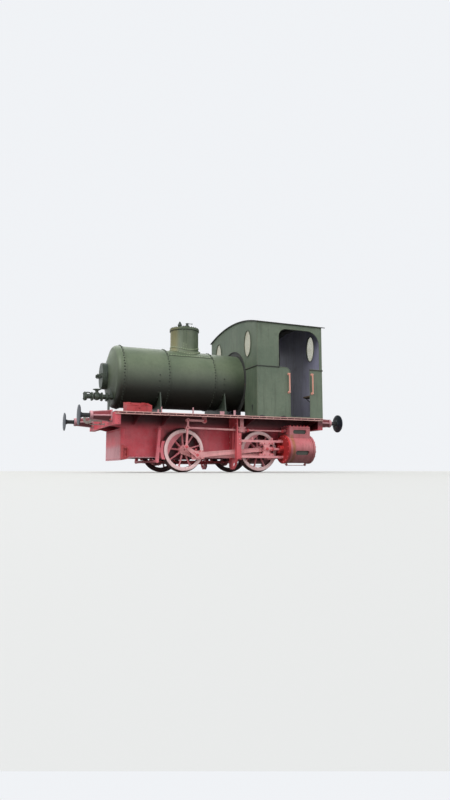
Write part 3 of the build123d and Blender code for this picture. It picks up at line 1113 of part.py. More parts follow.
# Fittings
def filling_pipe():
    """Charging pipe: bend from the front head, flanged valve, hose flange and lifting hoop."""
    z, y, r = FILLING_Z, FILLING_Y, FILLING_PIPE_RADIUS
    bend_x = VESSEL_FRONT_X + FILLING_BEND_REACH
    pipe = bar_x(bend_x, FILLING_END_X, y, z, r) + bar_z(bend_x, y, z, VESSEL_AXIS_Z - 250, r)
    pipe += Pos(bend_x, y, z) * Sphere(r)
    half, valve_half = FILLING_FLANGE_THICKNESS / 2, FILLING_VALVE_LENGTH / 2
    for x in (FILLING_END_X - half, FILLING_VALVE_X + valve_half, FILLING_VALVE_X - valve_half, bend_x + 120):
        pipe += bar_x(x - half, x + half, y, z, FILLING_FLANGE_RADIUS)
    pipe += Pos(FILLING_VALVE_X, y, z) * Sphere(FILLING_FLANGE_RADIUS - 12)
    pipe += bar_z(FILLING_VALVE_X, y, z, z + 128, 26) + bar_z(FILLING_VALVE_X, y, z + 116, z + 130, 44)
    hoop = Pos(FILLING_END_X - 62, z) * (Circle(86) - Circle(66))
    hoop &= Pos(FILLING_END_X - 62, z + 60) * Rectangle(200, 120)
    pipe += side_plate(hoop, y - 12, y + 12)
    pipe -= Pos(0, 0, VESSEL_AXIS_Z) * turned_x(vessel_profile(0.0))
    pipe -= bar_x(FILLING_END_X - 90, FILLING_END_X + 1, y, z, r - FILLING_PIPE_WALL)
    stay = block(BEAM_X - 96, BEAM_X - 72, y - 54, y + 54, DECK_TOP_Z, z - r + 10)
    return pipe + stay


def toolbox():
    """Long box on the left running board, with a sloping lid."""
    (y0, y1), (tall, low), z = TOOLBOX_Y, TOOLBOX_HEIGHTS, DECK_TOP_Z
    section = polygon([(y0, z), (y1, z), (y1, z + low), (y0, z + tall)])
    front = BEAM_X - TOOLBOX_SETBACK
    return cross_plate(section, front - TOOLBOX_LENGTH, front)


def board_lugs():
    """Small lugs along the running board's edge."""
    pieces = []
    for x, height, width in LUGS:
        lug = block(x - width / 2, x + width / 2, LUG_Y - 8, LUG_Y + 8, DECK_TOP_Z, DECK_TOP_Z + height)
        pieces.append(lug)
    return Compound(children=pieces)


def brake_gear():
    """Brake blocks ahead of each wheel on their hangers, with the cross beam below."""
    pieces = []
    y0 = TYRE_BACK_Y + 46
    y1 = y0 + BRAKE_SHOE_WIDTH
    lug_z = (BRAKE_SHOE_TOP_Z + BRAKE_SHOE_BOTTOM_Z) / 2
    lug_share = (BRAKE_PIVOT_Z - lug_z) / (BRAKE_PIVOT_Z - BRAKE_BEAM_Z)
    for axle_x in (FRONT_AXLE_X, REAR_AXLE_X):
        centre = Pos(axle_x, AXLE_Z)
        inside = TREAD_RADIUS + BRAKE_SHOE_GAP
        shoe_face = centre * Circle(inside + BRAKE_SHOE_THICKNESS) - centre * Circle(inside)
        shoe_face &= Pos(axle_x + TREAD_RADIUS, (BRAKE_SHOE_TOP_Z + BRAKE_SHOE_BOTTOM_Z) / 2) \
            * Rectangle(400, BRAKE_SHOE_TOP_Z - BRAKE_SHOE_BOTTOM_Z)
        top = (axle_x + BRAKE_PIVOT_AHEAD, BRAKE_PIVOT_Z)
        foot = (top[0] + BRAKE_FOOT_AHEAD, BRAKE_BEAM_Z)
        gear = bar_y(foot[0], -y1 - 10, y1 + 10, foot[1], BRAKE_BEAM_RADIUS)
        for side in SIDES.values():
            gear += side_plate(shoe_face, side * y0, side * y1)
            gear += block(axle_x + inside + BRAKE_SHOE_THICKNESS / 2, top[0] + lug_share * BRAKE_FOOT_AHEAD,
                          side * (y0 + 10), side * (y1 - 10), lug_z - BRAKE_LUG_HEIGHT / 2,
                          lug_z + BRAKE_LUG_HEIGHT / 2)
            gear += link_bar(top, foot, 54, 2 * BRAKE_FOOT_RADIUS - 4, side * y0, side * y1)
            gear += bar_y(top[0], side * FRAME_OUTER_Y, side * (y1 + 12), top[1], 30)
            gear += bar_y(foot[0], side * y0, side * y1, foot[1], BRAKE_FOOT_RADIUS)
        pieces.append(gear)
    return Compound(children=pieces)


def guard_brackets():
    """Pocketed brackets at the front corners of the side frames."""
    pieces = []
    for side in SIDES.values():
        y0, y1 = side * FRAME_OUTER_Y, side * (FRAME_OUTER_Y + GUARD_BRACKET_DEPTH)
        x1 = FRAME_FRONT_X - 10
        outline = polygon([(x1, FRAME_BOTTOM_Z - 30), (x1, 520), (x1 - 40, 520),
                           (x1 - GUARD_BRACKET_LENGTH, 450),
                           (x1 - GUARD_BRACKET_LENGTH, FRAME_BOTTOM_Z + 6), (x1 - 60, FRAME_BOTTOM_Z - 30)])
        pocket = Pos(x1 - GUARD_BRACKET_LENGTH / 2 - 6, 375) \
            * RectangleRounded(GUARD_BRACKET_LENGTH - 62, 150, 16)
        bracket = side_plate(outline, y0, y1) - side_plate(pocket, y1 + side, y0 + side * 12)
        pieces.append(bracket)
    return Compound(children=pieces)


# The model
def nodes():
    """Every node's name and solid."""
    out = {
        "frame_plates": frame_plates(), "frame_stretchers": frame_stretchers(), "horn_stays": horn_stays(),
        "axleboxes": axleboxes(), "springs": springs(),
        "front_buffer_beam": buffer_beam(1), "rear_buffer_beam": buffer_beam(-1),
        "deck": deck(), "deck_brackets": deck_brackets(),
        "buffer_cases": buffer_cases(), "buffer_plungers": buffer_plungers(),
        "draw_hooks": draw_hooks(),
        "storage_vessel": storage_vessel(), "vessel_saddles": saddles(), "manhole": manhole(),
        "steam_dome": steam_dome(), "dome_fittings": dome_fittings(),
        "cab_front_wall": cab_front_wall(), "cab_rear_wall": cab_rear_wall(),
        "cab_side_left": cab_side(1), "cab_side_right": cab_side(-1), "cab_roof": cab_roof(),
        "waist_beading": waist_beading(), "window_panes": window_panes(), "window_rims": window_rims(),
        "handrails": handrails(), "cab_controls": cab_controls(),
        "filling_pipe": filling_pipe(), "toolbox": toolbox(), "board_lugs": board_lugs(),
        "brake_gear": brake_gear(), "guard_brackets": guard_brackets(),
        "front_axle": axle(FRONT_AXLE_X), "rear_axle": axle(REAR_AXLE_X),
    }
    for name, side in SIDES.items():
        out[f"cylinder_{name}"] = cylinder(side)
        out[f"slide_bars_{name}"] = slide_bars(side)
        out[f"crosshead_{name}"] = crosshead(side)
        out[f"motion_plate_{name}"] = motion_plate(side)
        out[f"valve_motion_{name}"] = valve_motion(side)
        out[f"valve_hangers_{name}"] = valve_hangers(side)
        out[f"front_wheel_{name}"] = wheel(side, FRONT_AXLE_X, True)
        out[f"rear_wheel_{name}"] = wheel(side, REAR_AXLE_X, False)
        out[f"return_crank_{name}"] = return_crank(side)
        out[f"coupling_rod_{name}"] = coupling_rod(side)
        out[f"main_rod_{name}"] = main_rod(side)
        out[f"eccentric_rod_{name}"] = eccentric_rod(side)
    return out


os.makedirs("parts", exist_ok=True)
for node, shape in nodes().items():
    export_step(shape, f"parts/{node}.step")
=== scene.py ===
"""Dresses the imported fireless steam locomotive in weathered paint, rivets, bolts and fittings.

All lengths are metres in the locomotive's own frame: +X forwards, +Y to its left and +Z up, from the
middle between the buffers and level with the tips of the wheels' flanges. Solids that are right as
they are get a finish. The others are made anew, in the same places.
"""
import json
import logging
import math
from contextlib import contextmanager
from dataclasses import dataclass
from enum import Enum
from itertools import product
from typing import Iterable, Iterator, Sequence

import bmesh
import bpy
from bmesh import ops
from mathutils import Matrix, Vector

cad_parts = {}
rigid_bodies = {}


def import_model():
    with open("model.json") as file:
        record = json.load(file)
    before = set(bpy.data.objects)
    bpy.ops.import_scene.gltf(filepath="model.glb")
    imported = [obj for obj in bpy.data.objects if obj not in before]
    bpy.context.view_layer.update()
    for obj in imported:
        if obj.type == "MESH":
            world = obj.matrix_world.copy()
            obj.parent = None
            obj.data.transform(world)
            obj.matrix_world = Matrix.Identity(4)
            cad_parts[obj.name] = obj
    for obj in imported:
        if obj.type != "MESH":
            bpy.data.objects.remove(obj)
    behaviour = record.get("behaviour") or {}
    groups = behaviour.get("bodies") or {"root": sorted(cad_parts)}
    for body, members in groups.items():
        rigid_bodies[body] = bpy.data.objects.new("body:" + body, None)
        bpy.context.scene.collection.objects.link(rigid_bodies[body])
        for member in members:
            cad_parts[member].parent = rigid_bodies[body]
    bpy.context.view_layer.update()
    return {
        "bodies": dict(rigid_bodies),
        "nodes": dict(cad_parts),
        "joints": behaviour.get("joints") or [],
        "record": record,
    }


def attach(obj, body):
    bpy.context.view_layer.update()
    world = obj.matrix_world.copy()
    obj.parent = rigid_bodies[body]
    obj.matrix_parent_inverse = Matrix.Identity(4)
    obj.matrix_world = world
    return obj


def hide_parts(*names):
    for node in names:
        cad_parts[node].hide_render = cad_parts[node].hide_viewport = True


LOG = logging.getLogger("locomotive")
COATS: dict[str, bpy.types.Material] = {}        # every finished material by its name
Colour = tuple[float, float, float, float]
Point = tuple[float, float, float]
Pair = tuple[float, float]
Spot = Sequence[float]
Socket = bpy.types.NodeSocket

FRONT, REAR = (1, 0, 0), (-1, 0, 0)
LEFT, UP, DOWN = (0, 1, 0), (0, 0, 1), (0, 0, -1)
AXLES = {"front": 0.725, "rear": -0.895}     # where each axle is along X
AXLE_Z = 0.433           # height of the axles
CRANK = 204.8            # angle of the left crank pins, in degrees from +X towards +Z
QUARTER = 90.0           # how far the right ones are ahead
VESSEL_Z = 1.909         # height of the vessel's axis
FLOOR_Z = 1.105          # top of the deck


class Axis(Enum):
    """One of the frame's three directions."""

    X = 0
    Y = 1
    Z = 2

    def place(self, along: float, a: float, b: float) -> Vector:
        """Point at a distance along the axis and two across it, in the order of X, Y and Z."""
        return Vector([(along, a, b), (a, along, b), (a, b, along)][self.value])


class Side(Enum):
    """Left or right side of the locomotive, as the sign of Y."""

    LEFT = 1.0
    RIGHT = -1.0

    @property
    def word(self) -> str:
        """Name as the nodes use it."""
        return self.name.lower()

    @property
    def crank(self) -> float:
        """Angle of the crank pins, in degrees from +X towards +Z."""
        return CRANK if self is Side.LEFT else CRANK + QUARTER


def srgb(code: str) -> Colour:
    """Linear colour of a display colour.

    Args:
        code: Red, green and blue as six hexadecimal digits.

    Returns:
        Linear red, green and blue, and a full alpha.
    """
    shares = [int(code[i:i + 2], 16) / 255.0 for i in (0, 2, 4)]
    red, green, blue = (s / 12.92 if s <= 0.04045 else ((s + 0.055) / 1.055) ** 2.4 for s in shares)
    return red, green, blue, 1


def polar(radius: float, degrees: float) -> Pair:
    """Offset at an angle from the first of two axes towards the second."""
    return radius * math.cos(math.radians(degrees)), radius * math.sin(math.radians(degrees))


def arc(radius: float, first: float, last: float, steps: int) -> list[Pair]:
    """Offsets along an arc between two angles, both ends included."""
    return [polar(radius, first + (last - first) * n / steps) for n in range(steps + 1)]


def around(axis: Axis, centre: Spot, count: int, radius: float, first: float = 0.0) -> list[Vector]:
    """Evenly spaced points on a circle about an axis, from an angle in degrees."""
    return [Vector(centre) + axis.place(0, *polar(radius, first + 360.0 * n / count)) for n in range(count)]


def grid(*places: float | Spot) -> list[Point]:
    """Every point at the given places along X, Y and Z, each of them one number or several."""
    return list(product(*[p if isinstance(p, (list, tuple)) else (p,) for p in places]))


def spaced(first: float, last: float, pitch: float) -> list[float]:
    """Evenly spaced values from one end to the other.

    Args:
        first: First value.
        last: Last value.
        pitch: Wanted distance between neighbours.

    Returns:
        The values, both ends included.
    """
    count = max(1, round(abs(last - first) / pitch))
    return [first + (last - first) * i / count for i in range(count + 1)]


class NodeBuilder:
    """Adds and links nodes in one node tree."""

    def __init__(self, tree: bpy.types.NodeTree) -> None:
        """Starts work on a tree."""
        self.tree = tree

    def feed(self, socket: Socket, value: object) -> None:
        """Links an input socket to an output socket, or sets its plain value.

        Args:
            socket: The input socket.
            value: An output socket, or a plain value.
        """
        if isinstance(value, Socket):
            self.tree.links.new(value, socket)
        else:
            socket.default_value = value

    def node(self, kind: str, feeds: dict[int | str, object] | None = None,
            **settings: object) -> bpy.types.Node:
        """Adds a node and feeds its inputs.

        Args:
            kind: The node's type name, after ShaderNode.
            feeds: What goes to each input, by its name or number.
            **settings: Properties to set on the node first.

        Returns:
            The node.
        """
        made = self.tree.nodes.new("ShaderNode" + kind)
        for key, value in settings.items():
            setattr(made, key, value)
        for key, value in (feeds or {}).items():
            self.feed(made.inputs[key], value)
        return made

    def math(self, operation: str, a: object, b: object = 0.0) -> Socket:
        """Result of a math node."""
        return self.node("Math", {0: a, 1: b}, operation=operation).outputs[0]

    def plus(self, a: object, b: object) -> Socket:
        """Sum of two values."""
        return self.math("ADD", a, b)

    def times(self, a: object, b: object) -> Socket:
        """Product of two values."""
        return self.math("MULTIPLY", a, b)

    def vector(self, operation: str, a: object, b: object) -> bpy.types.NodeOutputs:
        """Outputs of a vector math node."""
        return self.node("VectorMath", {0: a, 1: b}, operation=operation).outputs

    def mix(self, factor: object, a: object, b: object) -> Socket:
        """Colour between two others."""
        return self.node("Mix", {0: factor, 6: a, 7: b}, data_type="RGBA").outputs[2]

    def noise(self, vector: object, scale: float, detail: float, rough: float = 0.55) -> Socket:
        """Value of a noise texture."""
        return self.node("TexNoise", {"Vector": vector, "Scale": scale, "Detail": detail,
            "Roughness": rough}).outputs[0]

    def window(self, value: object, low: object, high: object, to: Pair = (0, 1)) -> Socket:
        """Smooth step of a value between two bounds."""
        feeds = {"Value": value, "From Min": low, "From Max": high, "To Min": to[0], "To Max": to[1]}
        return self.node("MapRange", feeds, interpolation_type="SMOOTHSTEP").outputs[0]

    def group(self, name: str, feeds: dict[str, object]) -> bpy.types.NodeOutputs:
        """Outputs of one of the shared effects."""
        return self.node("Group", feeds, node_tree=bpy.data.node_groups[name]).outputs

    def seen(self) -> Socket:
        """Share of what is seen rather than lit.

        Returns:
            One for rays from the camera, off gloss or through glass, and nought for light.
        """
        rays = self.node("LightPath").outputs
        direct = self.math("MAXIMUM", rays["Is Camera Ray"], rays["Is Glossy Ray"])
        return self.math("MAXIMUM", direct, rays["Is Transmission Ray"])


class EffectBuilder(NodeBuilder):
    """Builds a shared effect as a shader node group with named sockets."""

    def __init__(self, name: str, vectors: Sequence[str], colours: Sequence[str] = (),
            floats: Sequence[str] = (), gives: Sequence[str] = ("Mask",)) -> None:
        """Makes the group and its sockets.

        Args:
            name: The group's name.
            vectors: Names of the vectors that it takes.
            colours: Names of the colours that it takes.
            floats: Names of the numbers that it takes.
            gives: Names of what it gives.
        """
        super().__init__(bpy.data.node_groups.new(name, "ShaderNodeTree"))
        for titles, kind in ((vectors, "Vector"), (colours, "Color"), (floats, "Float")):
            for title in titles:
                self.tree.interface.new_socket(name=title, in_out="INPUT", socket_type="NodeSocket" + kind)
        for title in gives:
            kind = "NodeSocketColor" if title == "Color" else "NodeSocketFloat"
            self.tree.interface.new_socket(name=title, in_out="OUTPUT", socket_type=kind)
        self.given = self.tree.nodes.new("NodeGroupInput").outputs
        self.out = self.tree.nodes.new("NodeGroupOutput").inputs

    def give(self, results: dict[str, Socket]) -> None:
        """Feeds the group's outputs."""
        for title, result in results.items():
            self.feed(self.out[title], result)


class Effects:
    """The shared effects, each a shader node group that is built once."""

    def build(self) -> None:
        """Builds every group."""
        self._weather()
        self._edges()
        self._zone()
        self._underside()
        self._boards()

    def _weather(self) -> None:
        """Sun-faded, streaked and rusting paint."""
        b = EffectBuilder("weathered_paint", ("Vector",), ("Paint", "Faded", "Dirt", "Rust"),
            ("Scale", "Fade", "Streaks", "Dirt Amount", "Rust Amount", "Gloss"),
            ("Color", "Roughness", "Height"))
        g = b.given
        spot = b.node("VectorMath", {0: g["Vector"], "Scale": g["Scale"]}, operation="SCALE").outputs[0]
        broad = b.noise(spot, 1.6, 5.0, 0.62)
        runs = b.noise(b.vector("MULTIPLY", spot, (11.0, 11.0, 0.7))[0], 1.9, 5.0, 0.6)
        grime = b.noise(spot, 5.5, 8.0, 0.72)
        flakes = b.noise(spot, 19.0, 7.0, 0.7)
        fine = b.noise(spot, 95.0, 3.0, 0.6)
        fade = b.times(b.window(b.plus(broad, b.times(grime, 0.35)), 0.52, 0.82), g["Fade"])
        streak = b.times(b.window(runs, 0.47, 0.72), g["Streaks"])
        dirt = b.times(b.window(grime, 0.46, 0.74), g["Dirt Amount"])
        rust = b.times(b.window(b.plus(flakes, b.times(streak, 0.12)), 0.6, 0.7), g["Rust Amount"])
        tone = b.mix(fade, g["Paint"], g["Faded"])
        tone = b.mix(b.math("MAXIMUM", streak, dirt), tone, g["Dirt"])
        tone = b.mix(rust, tone, g["Rust"])
        lift = b.window(b.plus(b.times(fine, 0.5), b.times(flakes, 0.5)), 0.2, 0.8, (0.88, 1.12))
        dull = b.plus(g["Gloss"], b.times(b.plus(dirt, rust), 0.22))
        b.give({"Color": b.node("HueSaturation", {"Color": tone, "Value": lift}).outputs[0],
            "Roughness": b.plus(dull, b.times(fine, 0.12)),
            "Height": b.plus(b.times(fine, 0.25), b.plus(b.times(flakes, 0.35), b.times(rust, 0.8)))})

    def _edges(self) -> None:
        """Mask of the worn corners of a solid."""
        b = EffectBuilder("worn_edges", ("Vector",), floats=("Radius", "Amount"))
        rounded = b.node("Bevel", {"Radius": b.given["Radius"]}, samples=4).outputs[0]
        same = b.vector("DOT_PRODUCT", rounded, b.node("NewGeometry").outputs["Normal"])["Value"]
        chips = b.window(b.noise(b.given["Vector"], 34.0, 5.0, 0.7), 0.38, 0.62)
        b.give({"Mask": b.times(b.times(b.window(same, 0.995, 0.86), chips), b.given["Amount"])})

    def _zone(self) -> None:
        """Mask of what lies inside a box, growing over a soft margin."""
        b = EffectBuilder("box_zone", ("Vector", "Middle", "Half Size"), floats=("Soft",))
        apart = b.vector("SUBTRACT", b.given["Vector"], b.given["Middle"])[0]
        size = b.node("VectorMath", {0: apart}, operation="ABSOLUTE").outputs[0]
        room = b.node("SeparateXYZ", {0: b.vector("SUBTRACT", b.given["Half Size"], size)[0]}).outputs
        least = b.math("MINIMUM", b.math("MINIMUM", room[0], room[1]), room[2])
        b.give({"Mask": b.window(least, 0, b.given["Soft"])})

    def _underside(self) -> None:
        """Mask of faces that look down, which get painted shade."""
        b = EffectBuilder("underside", ("Normal",))
        b.give({"Mask": b.window(b.node("SeparateXYZ", {0: b.given["Normal"]}).outputs[2], 0.54, -0.54)})

    def _boards(self) -> None:
        """Worn planks that run along X."""
        b = EffectBuilder("floor_boards", ("Vector",), ("Light", "Dark"),
            gives=("Color", "Roughness", "Height"))
        g = b.given
        grain = b.noise(b.vector("MULTIPLY", g["Vector"], (3.0, 60.0, 20.0))[0], 1.6, 6.0, 0.65)
        tone = b.mix(b.window(grain, 0.35, 0.7), g["Dark"], g["Light"])
        stain = b.window(b.noise(g["Vector"], 2.3, 3.0), 0.45, 0.75, (0, 0.5))
        b.give({"Color": b.mix(stain, tone, g["Dark"]), "Roughness": b.window(grain, 0.2, 0.8, (0.75, 0.95)),
            "Height": grain})


class MaterialBuilder(NodeBuilder):
    """Builds one material round its Principled BSDF."""

    def __init__(self, name: str) -> None:
        """Starts a material.

        Args:
            name: The material's name.
        """
        self.made = bpy.data.materials.new(name)
        self.made.use_nodes = True
        COATS[name] = self.made
        super().__init__(self.made.node_tree)
        self.place = self.node("TexCoord").outputs

    def shade(self, values: dict[str, object]) -> None:
        """Feeds the shader's sockets by name."""
        for title, value in values.items():
            self.feed(self.tree.nodes["Principled BSDF"].inputs[title], value)

    def relief(self, height: Socket, strength: float, distance: float) -> Socket:
        """Normal that follows a height."""
        return self.node("Bump", {"Height": height, "Strength": strength, "Distance": distance}).outputs[0]


@dataclass(frozen=True)
class Zone:
    """A box with a coat of its own, such as a wall's inner face."""

    middle: Point  # the box's centre
    half: Point  # half its size along each axis
    coat: "Paint"  # the finish inside the box
    soft: float = 0.0015  # width of the margin over which the finish comes in


@dataclass(frozen=True)
class Paint:
    """A weathered coat of paint, or worn metal where `metallic` is high. Colours are display colours."""

    name: str  # the material's name
    paint: str  # colour where the coat is sound
    faded: str  # colour where the sun bleached it
    dirt: str = "2e2c26"  # colour of grime and rain streaks
    rust: str = "76422a"  # colour where it flaked away
    worn: str = "76422a"  # colour along the corners
    scale: float = 1.0  # larger values make the patches smaller
    fade: float = 0.6  # share of bleaching
    streaks: float = 0.35  # strength of the upright streaks
    grime: float = 0.35  # strength of the dirt
    flaking: float = 0.35  # strength of the rust
    wear: float = 0.35  # strength of the corner wear
    gloss: float = 0.42  # roughness of the sound coat
    metallic: float = 0.0  # metallic value of the shader
    bump: float = 0.35  # strength of the relief
    sheltered: float = 0.0  # how much painted shade darkens the faces that look down
    zones: tuple[Zone, ...] = ()  # boxes that have another coat

    def make(self) -> None:
        """Makes the material."""
        b = MaterialBuilder(self.name)
        colour, rough, height = self.layers(b)
        # Painted shade: faces that look down are mixed towards a dark colour.
        if self.sheltered > 0:
            below = b.group("underside", {"Normal": b.place["Normal"]})[0]
            colour = b.mix(b.times(below, self.sheltered), colour, srgb(UNDERSIDE_SHADE))
        b.shade({"Base Color": colour, "Roughness": rough, "Metallic": self.metallic,
            "Normal": b.relief(height, self.bump, 0.004)})

    def layers(self, b: MaterialBuilder) -> tuple[Socket, Socket, Socket]:
        """Colour, roughness and height of this coat and of those in its zones.

        Args:
            b: The material's builder.

        Returns:
            The three output sockets.
        """
        place = {"Vector": b.place["Object"]}
        coat = b.group("weathered_paint", place | {"Paint": srgb(self.paint), "Faded": srgb(self.faded),
            "Dirt": srgb(self.dirt), "Rust": srgb(self.rust), "Scale": self.scale, "Fade": self.fade,
            "Streaks": self.streaks, "Dirt Amount": self.grime, "Rust Amount": self.flaking,
            "Gloss": self.gloss})
        colour, rough = coat["Color"], coat["Roughness"]
        if self.wear > 0:
            edge = b.group("worn_edges", place | {"Radius": 0.006, "Amount": self.wear})[0]
            colour = b.mix(edge, colour, srgb(self.worn))
        for zone in self.zones:
            mask = b.group("box_zone", place | {"Middle": zone.middle, "Half Size": zone.half,
                "Soft": zone.soft})[0]
            inner, inner_rough, _ = zone.coat.layers(b)
            colour = b.mix(mask, colour, inner)
            rough = b.node("Mix", {0: mask, 2: rough, 3: inner_rough}, data_type="FLOAT").outputs[0]
        return colour, rough, coat["Height"]


@dataclass(frozen=True)
class Timber:
    """Bare worn planks."""

    name: str  # the material's name
    light: str  # colour of the pale grain
    dark: str  # colour of the dark grain

    def make(self) -> None:
        """Makes the material."""
        b = MaterialBuilder(self.name)
        coat = b.group("floor_boards", {"Vector": b.place["Object"], "Light": srgb(self.light),
            "Dark": srgb(self.dark)})
        b.shade({"Base Color": coat["Color"], "Roughness": coat["Roughness"],
            "Normal": b.relief(coat["Height"], 0.4, 0.002)})


@dataclass(frozen=True)
class Pane:
    """Old window glass with a film of dust."""

    name: str  # the material's name
    tint: str  # colour of the glass
    dust: str  # colour of the film
    clear: float = 0.35  # share of light that goes through
    haze: Pair = (0.12, 0.42)  # roughness where the film is thin and where it is thick

    def make(self) -> None:
        """Makes the material."""
        b = MaterialBuilder(self.name)
        film = b.noise(b.place["Object"], 7.0, 6.0, 0.7)
        b.shade({"Base Color": b.mix(b.window(film, 0.35, 0.7), srgb(self.tint), srgb(self.dust)),
            "Roughness": b.window(film, 0.3, 0.8, self.haze), "Transmission Weight": self.clear, "IOR": 1.45})


# Modelling
def turn_to(direction: Vector) -> Matrix:
    """Rotation that takes +Z to a direction."""
    return direction.to_track_quat("Z", "Y").to_matrix().to_4x4()


class Shaper:
    """Gathers shapes in one bmesh and hands them over as a finished piece."""

    FULL = 500           # vertices at which a bmesh is put aside

    def __init__(self) -> None:
        """Starts with nothing."""
        self.bm = bmesh.new()
        self._stored: list[bpy.types.Mesh] = []

    def _settle(self) -> None:
        """Puts a full bmesh aside, because small shapes are slow to add to a large one."""
        if len(self.bm.verts) > self.FULL:
            mesh = bpy.data.meshes.new("stored")
            self.bm.to_mesh(mesh)
            self.bm.clear()
            self._stored.append(mesh)

    def gather(self) -> None:
        """Brings everything that was put aside back into one bmesh."""
        for mesh in self._stored:
            self.bm.from_mesh(mesh)
            bpy.data.meshes.remove(mesh)
        self._stored.clear()

    @contextmanager
    def moved(self, place: Matrix) -> Iterator[None]:
        """Moves what is added meanwhile, which can't be nuts or rivets.

        Args:
            place: The matrix that moves it.

        Yields:
            Nothing.
        """
        before = set(self.bm.verts)
        yield
        ops.transform(self.bm, matrix=place, verts=[v for v in self.bm.verts if v not in before])

    def _round(self, edges: Iterable[bmesh.types.BMEdge], width: float) -> None:
        """Rounds some edges."""
        ops.bevel(self.bm, geom=list(edges), offset=width, affect="EDGES", segments=2, profile=0.5,
            material=-1, clamp_overlap=True)

    def _bevel(self, verts: Iterable[bmesh.types.BMVert], width: float) -> None:
        """Rounds the sharp edges of the faces at some vertices."""
        edges = {e for v in verts for f in v.link_faces for e in f.edges}
        self._round([e for e in edges if len(e.link_faces) == 2 and e.calc_face_angle(0) > 0.5], width)

    def box(self, low: Spot, high: Spot, bevel: float = 0.0, turn: Matrix | None = None) -> None:
        """Adds a block.

        Args:
            low: Lowest corner.
            high: Highest corner.
            bevel: Width of its rounded edges.
            turn: Rotation about the block's middle.
        """
        a, c = Vector(low), Vector(high)
        with self.moved(Matrix.Translation((a + c) / 2) @ (turn or Matrix.Identity(4))):
            made = ops.create_cube(self.bm, size=1.0, matrix=Matrix.Diagonal((*(c - a), 1)))
            if bevel > 0:
                self._bevel(made["verts"], bevel)

    def rod(self, start: Spot, end: Spot, radius: float, end_radius: float | None = None, sides: int = 16,
            bevel: float = 0.0) -> None:
        """Adds a round bar or a cone between two points.

        Args:
            start: Middle of the first end.
            end: Middle of the other end.
            radius: Radius at the start.
            end_radius: Radius at the end, if it differs.
            sides: Number of sides.
            bevel: Width of the rounded rims.
        """
        a, c = Vector(start), Vector(end)
        made = ops.create_cone(self.bm, cap_ends=True, cap_tris=False, segments=sides, radius1=radius,
            depth=(c - a).length, radius2=radius if end_radius is None else end_radius,
            matrix=Matrix.Translation((a + c) / 2) @ turn_to(c - a))
        if bevel > 0:
            faces = {f for v in made["verts"] for f in v.link_faces if len(f.verts) == sides}
            self._round({e for f in faces for e in f.edges}, bevel)

    def nut(self, at: Spot, out: Spot, across: float, height: float, stud: float = 0.0,
            spin: float = 0.0) -> None:
        """Adds a hexagon nut or bolt head that stands on a surface.

        Args:
            at: Point on the surface.
            out: Direction away from the surface.
            across: Radius over its corners.
            height: Height of the head.
            stud: Height of a stud's end above the nut.
            spin: Rotation about its own axis in radians.
        """
        self._settle()
        p, d = Vector(at), Vector(out).normalized()
        place = Matrix.Translation(p + d * height / 2) @ turn_to(d) @ Matrix.Rotation(spin, 4, "Z")
        ops.create_cone(self.bm, cap_ends=True, cap_tris=False, segments=6, radius1=across,
            radius2=across * 0.93, depth=height, matrix=place)
        if stud > 0:
            self.rod(p + d * height, p + d * (height + stud), across * 0.5, sides=8)

    def nuts(self, spots: Iterable[Spot], out: Spot, across: float, height: float, stud: float = 0.0) -> None:
        """Adds a nut at every spot."""
        for spot in spots:
            self.nut(spot, out, across, height, stud)

    def rivet(self, at: Spot, out: Spot, radius: float, height: float) -> None:
        """Adds a domed rivet head, half of it sunk into the plate.

        Args:
            at: Point on the surface.
            out: Direction away from the surface.
            radius: Radius of the head.
            height: Height above the surface.
        """
        self._settle()
        size = Matrix.Diagonal((radius, radius, height, 1))
        place = Matrix.Translation(Vector(at)) @ turn_to(Vector(out)) @ size
        ops.create_uvsphere(self.bm, u_segments=8, v_segments=6, radius=1.0, matrix=place)

    def rivets(self, spots: Iterable[Spot], out: Spot, radius: float, height: float) -> None:
        """Adds a rivet at every spot."""
        for spot in spots:
            self.rivet(spot, out, radius, height)

    def ball(self, at: Spot, radius: float, stretch: Point = (1, 1, 1), sides: int = 16) -> None:
        """Adds a knob, round or drawn out along the three axes."""
        place = Matrix.Translation(Vector(at)) @ Matrix.Diagonal((*stretch, 1))
        ops.create_uvsphere(self.bm, u_segments=sides, v_segments=sides // 2, radius=radius, matrix=place)

    def lathe(self, profile: Sequence[Pair], centre: Spot, axis: Axis, steps: int = 48,
            closed: bool = False) -> None:
        """Spins a profile once round an axis.

        Args:
            profile: Pairs of a distance along the axis and a radius.
            centre: Point on the axis where the distances start.
            axis: The axis of the frame that the shape turns about.
            steps: Number of steps round.
            closed: Whether the last point joins the first.
        """
        base, along = Vector(centre), axis.place(1, 0, 0)
        across = Vector(FRONT if axis is Axis.Z else UP)
        before = set(self.bm.verts)
        verts = [self.bm.verts.new(base + along * d + across * r) for d, r in profile]
        edges = [self.bm.edges.new(pair) for pair in zip(verts, verts[1:] + verts[:1] * closed)]
        ops.spin(self.bm, geom=verts + edges, cent=base, axis=along, dvec=(0, 0, 0), angle=2.0 * math.pi,
            steps=steps, use_merge=True)
        ops.remove_doubles(self.bm, verts=[v for v in self.bm.verts if v not in before], dist=1e-5)

    def plate(self, outline: Sequence[Pair], axis: Axis, low: float, high: float, bevel: float = 0.0) -> None:
        """Adds a flat plate of any outline.

        Args:
            outline: Corners across the axis, in order.
            axis: Direction of the plate's thickness.
            low: Where the plate starts along the axis.
            high: Where it ends.
            bevel: Width of its rounded edges.
        """
        face = self.bm.faces.new([self.bm.verts.new(axis.place(low, a, b)) for a, b in outline])
        grown = ops.extrude_face_region(self.bm, geom=[face], use_keep_orig=True)
        top = [v for v in grown["geom"] if isinstance(v, bmesh.types.BMVert)]
        ops.translate(self.bm, vec=axis.place(high - low, 0, 0), verts=top)
        if bevel > 0:
            self._bevel(top, bevel)

